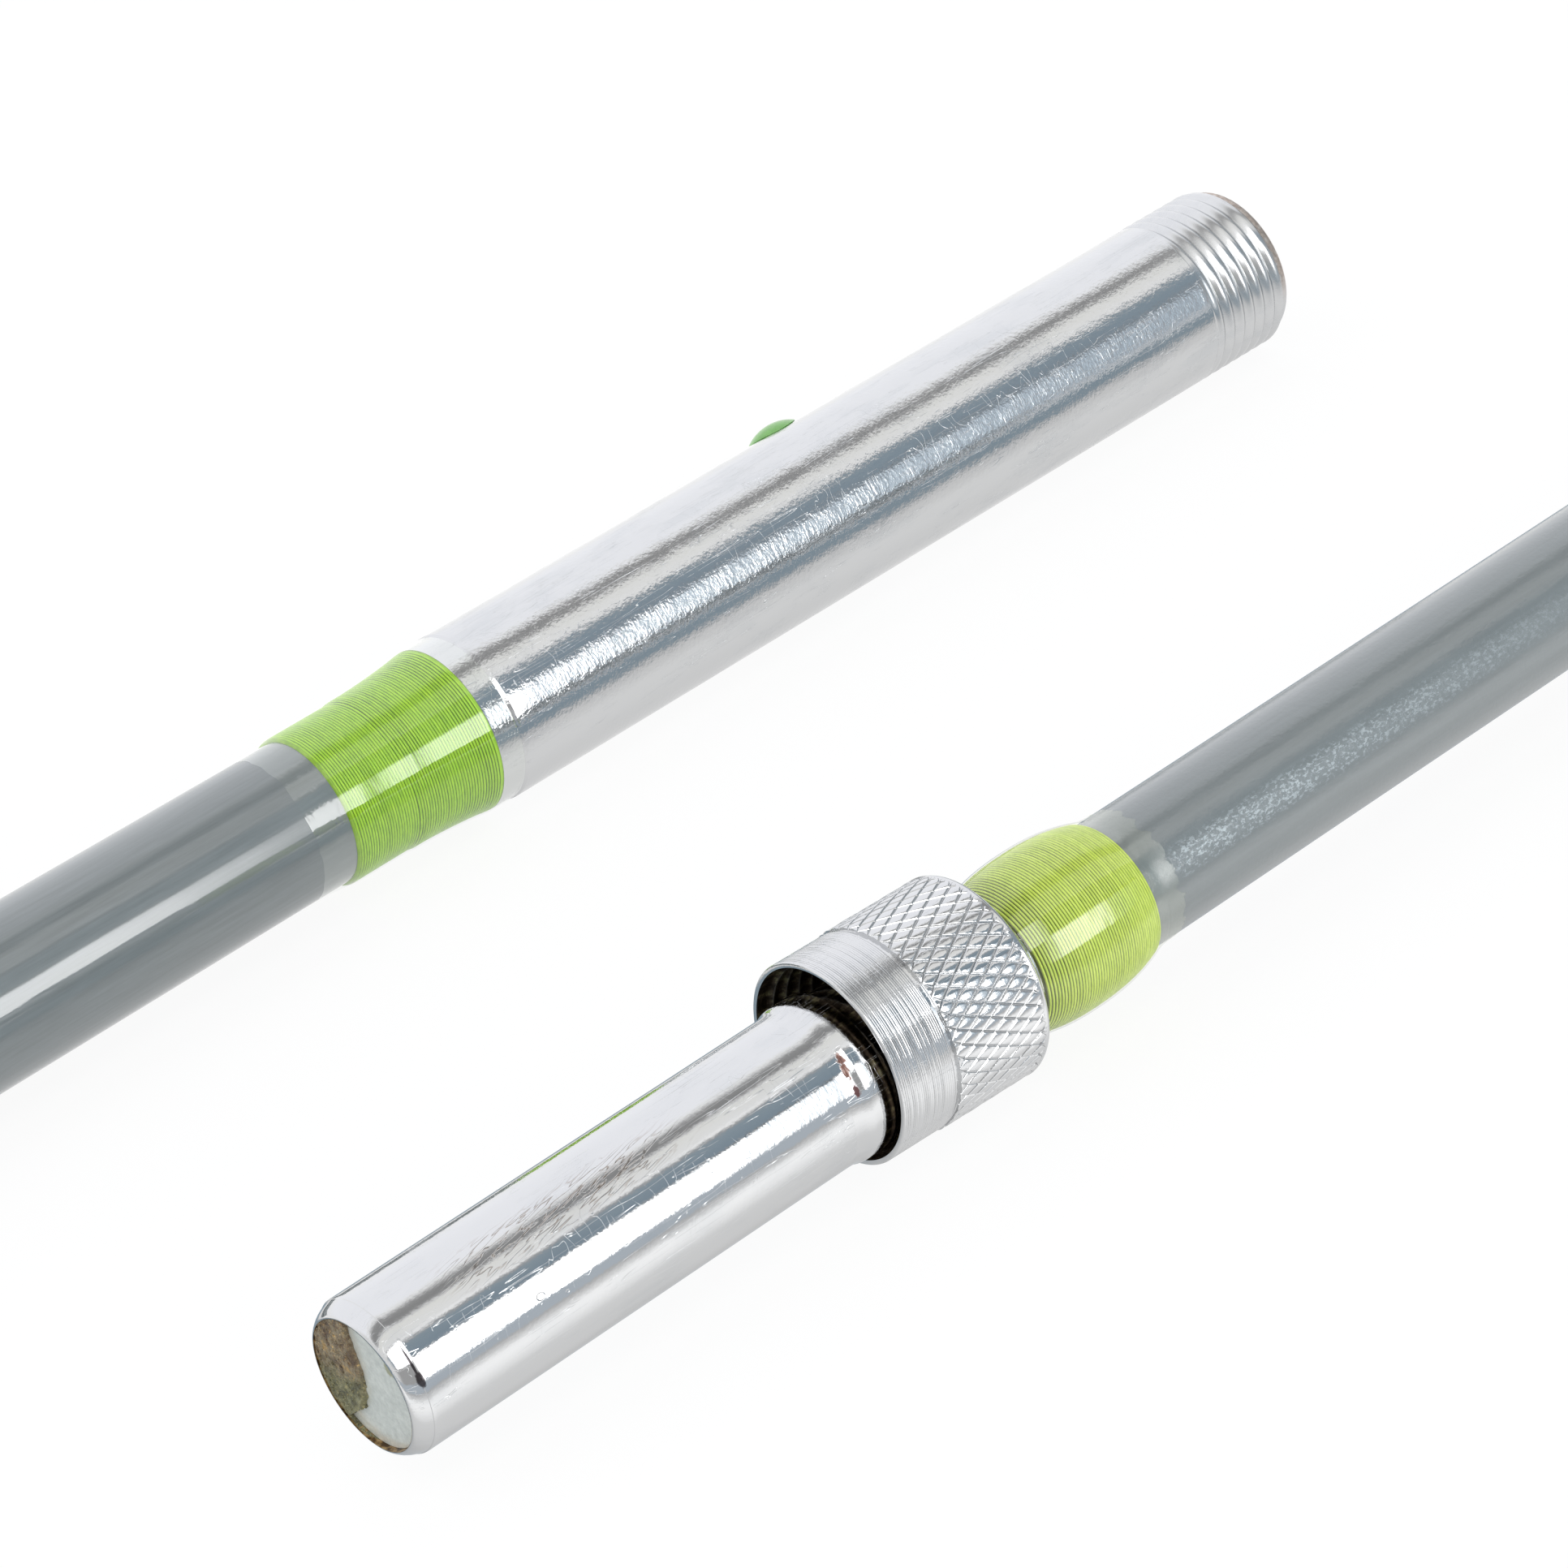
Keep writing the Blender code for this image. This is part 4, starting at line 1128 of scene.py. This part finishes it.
# Tip rod
tipRod = Settings(
    start=0.40, tenonRadius=4.10, shoulder=51.7, radius=4.27, end=124.2,
    edge=0.12, sides=144,
    look=Settings(
        dark=(0.158, 0.182, 0.187), light=(0.180, 0.207, 0.213), fibreScale=2.2,
        cutDark=(0.54, 0.56, 0.51), cutLight=(0.70, 0.72, 0.66), cutEnd=(0.9, 0.6),
        farEnd=(124.14, 124.18), stain=(0.40, 145.4, 3.25, (0.5, 0.5)),
        # The last entry places the painted sparkling highlight: its angle, where it is strongest
        # and where it is gone
        coatRough=0.05, wave=(0.5, 0.012), grain=(3.2, 0.022), scuff=(155.0, 59.4, 104.0),
    ),
)


def makeTipRod(s):
    start, end, radius, edge = s.start, s.end, s.radius, s.edge
    outline = [(start, 0.0)] + [(start, level) for level in steps(0.8, s.tenonRadius, 5)]
    outline += [(s.shoulder, s.tenonRadius), (s.shoulder, radius)]
    outline += straight(radius, s.shoulder + 4.0, end - edge, 12)
    outline += [(end, radius - edge), (end, 0.0)]
    piece = turned("tip_rod", outline, s.sides)
    material = paint("lacqueredFibreTip", "tip", fibreRod, s.look)
    finishPiece(piece, "tip", "tip_blank", material)


# Plug tube, thinner under the collar and the barrel whipping
plugTube = Settings(
    nose=[
        (0.0, 4.17), (0.05, 4.26), (0.15, 4.36), (0.32, 4.49), (0.55, 4.62), (0.80, 4.725),
        (0.99, 4.79), (1.01, 4.83), (1.06, 4.852), (1.3, 4.86),
    ],
    radius=4.86, end=34.7, edge=0.05,
    # Ferrule, tail, bore and lip behind the plug
    rest=[
        (34.7, 4.56), (46.2, 4.56), (46.2, 4.38), (51.6, 4.30), (51.6, 4.24), (0.60, 4.24),
        (0.60, 4.12), (0.0, 4.12),
    ],
    sides=180,
    look=Settings(
        rough=(0.04, 0.09), blotch=0.4, wave=(0.7, 0.006), grain=(3.5, 0.005),
        scratch=0.006, brush=(0.9, 0.4, 0.008),
    ),
)


def makePlugTube(s):
    outline = s.nose + straight(s.radius, 2.5, s.end - s.edge, 16)
    outline += [(s.end, s.radius - s.edge), *s.rest]
    piece = turned("plug_tube_plated", outline, s.sides, isLoop=True)
    material = paint("brightPlating", "tip", plating, s.look, dentedPlug)
    finishPiece(piece, "tip", "plug_tube", material)


# Flared ring that stops in the socket's mouth
stopShoulder = Settings(
    outline=[
        (31.2, 4.855), (31.8, 4.860), (32.2, 4.868), (32.45, 4.880), (32.6, 4.896),
        (32.72, 4.918), (32.84, 4.955), (32.94, 4.997), (33.04, 5.036), (33.14, 5.060),
        (33.26, 5.073), (33.5, 5.08), (33.7, 5.08), (34.73, 5.08), (34.78, 5.03),
        (34.78, 4.87), (31.6, 4.84), (31.2, 4.815),
    ],
    sides=180,
    look=Settings(
        rough=(0.03, 0.08), blotch=0.6, wave=(0.9, 0.02), grain=(4.0, 0.006),
        scratch=0.004, brush=(2.0, 0.5, 0.003),
    ),
)


def makeStopShoulder(s):
    piece = turned("stop_shoulder_ring", s.outline, s.sides, isLoop=True)
    material = paint("shoulderPlating", "tip", plating, s.look, rustedShoulder)
    finishPiece(piece, "tip", "stop_shoulder", material)


# Old cement left on one half of the plug's end
endResidue = Settings(
    back=0.39, radius=4.13, height=0.36, columns=40, rows=56, limit=4.1,
    # Edge of the cement across the rod's end, as (height, place) from the middle
    edge=[
        (-4.2, 4.2), (-3.4, 3.4), (-2.98, 2.4), (-2.33, 1.4), (-1.9, 0.85), (-1.1, 0.43),
        (0.43, 0.18), (1.6, 0.28), (3.0, 0.46), (3.64, 0.33), (4.2, 0.30),
    ],
    wave=0.12, edgeGap=0.02, least=0.01, rough=(0.85, 0.28),
    grains=Settings(density=8.0, least=0.04, most=0.10, seed=11),
)


def makeGrain(name):
    work = bmesh.new()
    bmesh.ops.create_icosphere(work, subdivisions=1, radius=1.0)
    for vert in work.verts:
        vert.co *= 1.0 + 0.35 * noise.noise(vert.co * 1.7)
    mesh = bpy.data.meshes.new(name)
    work.to_mesh(mesh)
    work.free()
    return newObject(name, mesh)


# Value between listed places
def between(stops, at):
    for (low, first), (high, second) in zip(stops, stops[1:]):
        if at <= high:
            share = (at - low) / (high - low)
            return first + (second - first) * max(share, 0.0)
    return stops[-1][1]


def flatNoise(y, z, scale, level):
    return noise.noise(Vector((y * scale, z * scale, level)))


def makeEndResidue(s):
    rows, columns = s.rows, s.columns
    plain, uneven = s.rough
    verts = []
    for row in range(rows + 1):
        z = s.limit * (2.0 * row / rows - 1.0)
        reach = math.sqrt(max(s.radius ** 2 - z * z, 0.0))
        wave = s.wave * noise.noise(Vector((z * 2.2, 3.1, 0.0)))
        chord = min(between(s.edge, z) + wave, reach - s.edgeGap)
        for column in range(columns + 1):
            share = column / columns
            y = chord + (reach - chord) * share
            edge = min(share * columns / 2.0, 1.0, (rows - row) / 2.0, row / 2.0)
            rough = flatNoise(y, z, 1.6, 0.5) + 0.5 * flatNoise(y, z, 4.0, 2.5)
            thick = s.height * (plain + uneven * rough) * max(edge, 0.05)
            verts += [(s.back - max(thick, s.least), y, z), (s.back, y, z)]

    # Corner on the top; the one after it is under it
    def corner(row, column):
        return 2 * (row * (columns + 1) + column)

    wide = corner(1, 0)
    faces = []
    for row in range(rows):
        for column in range(columns):
            at = corner(row, column)
            faces.append((at, at + 2, at + wide + 2, at + wide))
            faces.append((at + 1, at + wide + 1, at + wide + 3, at + 3))
    for column in range(columns):
        for at in (corner(0, column), corner(rows, column)):
            faces.append((at, at + 2, at + 3, at + 1))
    for row in range(rows):
        for at in (corner(row, 0), corner(row, columns)):
            faces.append((at, at + wide, at + wide + 1, at + 1))
    piece = meshObject("plug_end_cement", verts, faces)
    grain = makeGrain("grainSeed")
    material = paint("oldCement", "tip", oldCement)
    grow(piece, grains, s.grains, instance=grain, material=material)
    bpy.data.objects.remove(grain)
    finishPiece(piece, "tip", "plug_end_residue")


# Yellow-green thread wound into a barrel
tipThread = Settings(
    winding=Settings(
        start=47.25, end=56.35, turns=45.0, thickness=0.210, radius=5.10, middle=51.8,
        halfLength=4.6, drop=0.66, power=2.4, jitterAlong=0.035, jitterOut=0.014, points=2900,
    ),
    look=Settings(
        dark=(0.50, 0.67, 0.045), middle=(0.62, 0.79, 0.08),
        # The thread's look also sets how deep the painted shade between its turns is
        light=(0.72, 0.87, 0.14), gap=0.32, ends=(47.25, 56.35),
    ),
)


def makeTipThread(s):
    piece = seedObject("tip_thread_wraps")
    material = paint("yellowGreenThread", "tip", sewingThread, s.look)
    grow(piece, winding, s.winding, material=material)
    finishPiece(piece, "tip", "tip_whipping")


# Varnish over the barrel, run out on the rod with a ragged edge
tipVarnish = Settings(
    middle=51.8, half=4.6, radius=5.31, drop=0.66, power=2.4,
    front=((46.92, 4.42), (46.97, 4.54)), frontTop=(47.12, 47.2, -0.03),
    back=56.4, runEnd=58.8, runLow=4.325, ragged=0.9, sides=180,
    inner=[
        (58.8, 4.295), (58.8, 4.2), (56.0, 4.2), (51.8, 4.9), (47.4, 4.3), (46.92, 4.3),
    ],
    look=Settings(
        rough=(0.02, 0.05), wave=(1.2, 0.012), grain=(6.0, 0.001),
        tint=(0.98, 0.985, 0.95), lean=(49.0, 0.012), dull=(56.6, 57.4, 0.28),
    ),
)


def makeTipVarnish(s):
    def barrel(x):
        return s.radius - s.drop * (abs(x - s.middle) / s.half) ** s.power

    back, length = s.back, s.runEnd - s.back
    place, level, lower = s.frontTop
    outline = [*s.front, (place, barrel(level) + lower)]
    outline += [(x, barrel(x)) for x in steps(s.middle - s.half + 0.1, back, 34)]
    shares = steps(0.05, 1.0, 14)
    outline += eased(back, s.runEnd, s.runLow, barrel(back), shares, lambda t: (1.0 - t) ** 3)
    outline += s.inner

    def wander(x, radius, angle):
        if x < back:
            return x, radius
        uneven = ringNoise(angle, 4.0, 2.0) + 0.4 * ringNoise(angle, 16.0, 8.0)
        return x - s.ragged * uneven * ((x - back) / length) ** 2, radius

    piece = turned("tip_varnish", outline, s.sides, True, wander, 60.0)
    material = paint("clearVarnishTip", "tip", varnish, s.look)
    finishPiece(piece, "tip", "tip_whipping_coat", material)


print("tip section")
makeTipRod(tipRod)
makePlugTube(plugTube)
makeStopShoulder(stopShoulder)
makeEndResidue(endResidue)
makeTipThread(tipThread)
makeTipVarnish(tipVarnish)


# ---- lock collar

lockCollar = Settings(
    neck=6.43, neckEnd=4.0, edge=0.06, mouth=6.11, lines=27, seed=5,
    lineDepth=(0.030, 0.046), lineShift=(-0.08, 0.08), lineSides=(-0.28, 0.22),
    groove=[(4.0, 6.31), (4.25, 6.31), (4.29, 6.39), (10.7, 6.39), (10.95, 6.53)],
    back=(11.4, 10.8, 5.95, 6.55, 14), backFrom=10.98,
    inside=[(11.4, 5.03), (11.34, 4.97), (9.9, 4.97), (9.9, 6.06), (7.3, 6.06)],
    root=6.06, threadZone=(7.1, 0.2), sides=200,
    thread=Settings(
        pitch=1.0, depth=0.29, start=0.25, end=7.0, fade=0.5, leastRadius=5.9,
        mostRadius=6.09,
    ),
    knurl=Settings(
        start=3.95, rowStep=0.82, around=44.0, wrapRadius=6.39, lowX=4.27,
        highX=10.95, backX=10.6, backDrop=0.25, leastHeight=0.86,
        points=440, seed=3,
    ),
    # Rings of one diamond, as share of its size and height, and its top
    diamond=((1.0, -0.08), (1.0, 0.0), (0.86, 0.080), (0.72, 0.115), (0.42, 0.137)),
    diamondTop=0.145,
    look=Settings(
        rough=(0.07, 0.13), blotch=0.7, wave=(0.8, 0.006), grain=(5.0, 0.007),
        scratch=0.005, brush=(2.2, 0.6, 0.010),
    ),
)


# One diamond of the knurl, closed underneath
def makeDiamond(name, rings, top, halfLength, halfWidth):
    verts = []
    for scale, height in rings:
        a, b = halfLength * scale, halfWidth * scale
        verts += [(-a, 0.0, height), (0.0, -b, height), (a, 0.0, height), (0.0, b, height)]
    last = len(verts) - 4
    faces = []
    for low in range(0, last, 4):
        for side in range(4):
            after = (side + 1) % 4
            faces.append((low + side, low + after, low + 4 + after, low + 4 + side))
    faces += [(last + side, last + (side + 1) % 4, len(verts)) for side in range(4)]
    faces.append((3, 2, 1, 0))
    return meshObject(name, [*verts, (0.0, 0.0, top)], faces, 28.0)


def makeLockCollar(s):
    luck = random.Random(s.seed)
    neck, edge = s.neck, s.edge
    width = s.neckEnd - 2.0 * edge
    pitch = width / s.lines
    near, far = s.lineSides
    outline = [(0.0, s.mouth), (0.0, neck - edge), (edge, neck)]
    for line in range(s.lines):
        depth = luck.uniform(*s.lineDepth)
        shift = luck.uniform(*s.lineShift) * pitch
        middle = edge + width * (line + 0.5) / s.lines + shift
        outline += [(middle + near * pitch, neck), (middle, neck - depth)]
        outline.append((middle + far * pitch, neck))
    outline += [(s.neckEnd - edge, neck), *s.groove]
    outline += [spot for spot in quarterRound(*s.back)[::-1] if spot[0] > s.backFrom]
    outline += s.inside + straight(s.root, *s.threadZone, 150)
    piece = turned("lock_collar_knurled", outline, s.sides, isLoop=True, smoothAngle=50.0)
    material = paint("collarPlating", "collar", plating, s.look, greasedCollar)
    grow(piece, screwThread, s.thread, material=material)
    k = s.knurl
    halfWidth = 0.5 * (fullTurn * k.wrapRadius / k.around)
    rings, top = s.diamond, s.diamondTop
    diamonds = makeDiamond("diamonds", rings, top, k.rowStep, halfWidth)
    grow(diamonds, knurl, k, material=material)
    whole = joined([piece, diamonds])
    finishPiece(whole, "collar", "lock_collar")


print("lock collar")
makeLockCollar(lockCollar)


# ---- pieces inside, which keep their CAD shape

cementLook = Settings(
    stretch=(0.6, 1.5, 1.5), dark=(0.22, 0.12, 0.04), light=(0.42, 0.25, 0.09),
    rough=(0.35, 0.6), metal=0.0, bump=0.02,
)
innerLooks = Settings(
    butt_cement=("butt", cementLook),
    tip_cement=("tip", cementLook),
    water_plug=("butt", Settings(
        stretch=(5.0, 1.2, 1.2), dark=(0.48, 0.34, 0.14), light=(0.72, 0.55, 0.28),
        rough=(0.22, 0.42), metal=1.0, bump=0.006,
    )),
    thrust_ring=("tip", Settings(
        stretch=(6.0, 0.8, 0.8), dark=(0.05, 0.045, 0.04), light=(0.20, 0.19, 0.17),
        rough=(0.3, 0.5), metal=1.0, bump=0.008,
    )),
    tip_whipping_packing=("tip", Settings(
        stretch=(5.0, 0.9, 0.9), dark=(0.55, 0.53, 0.47), light=(0.80, 0.78, 0.72),
        rough=(0.8, 0.95), metal=0.0, bump=0.06,
    )),
)

print("inner pieces")
for nodeName, (section, look) in innerLooks.items():
    material = paint(nodeName + "Look", section, innerPiece, look)
    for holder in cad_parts[nodeName].material_slots:
        holder.material = material
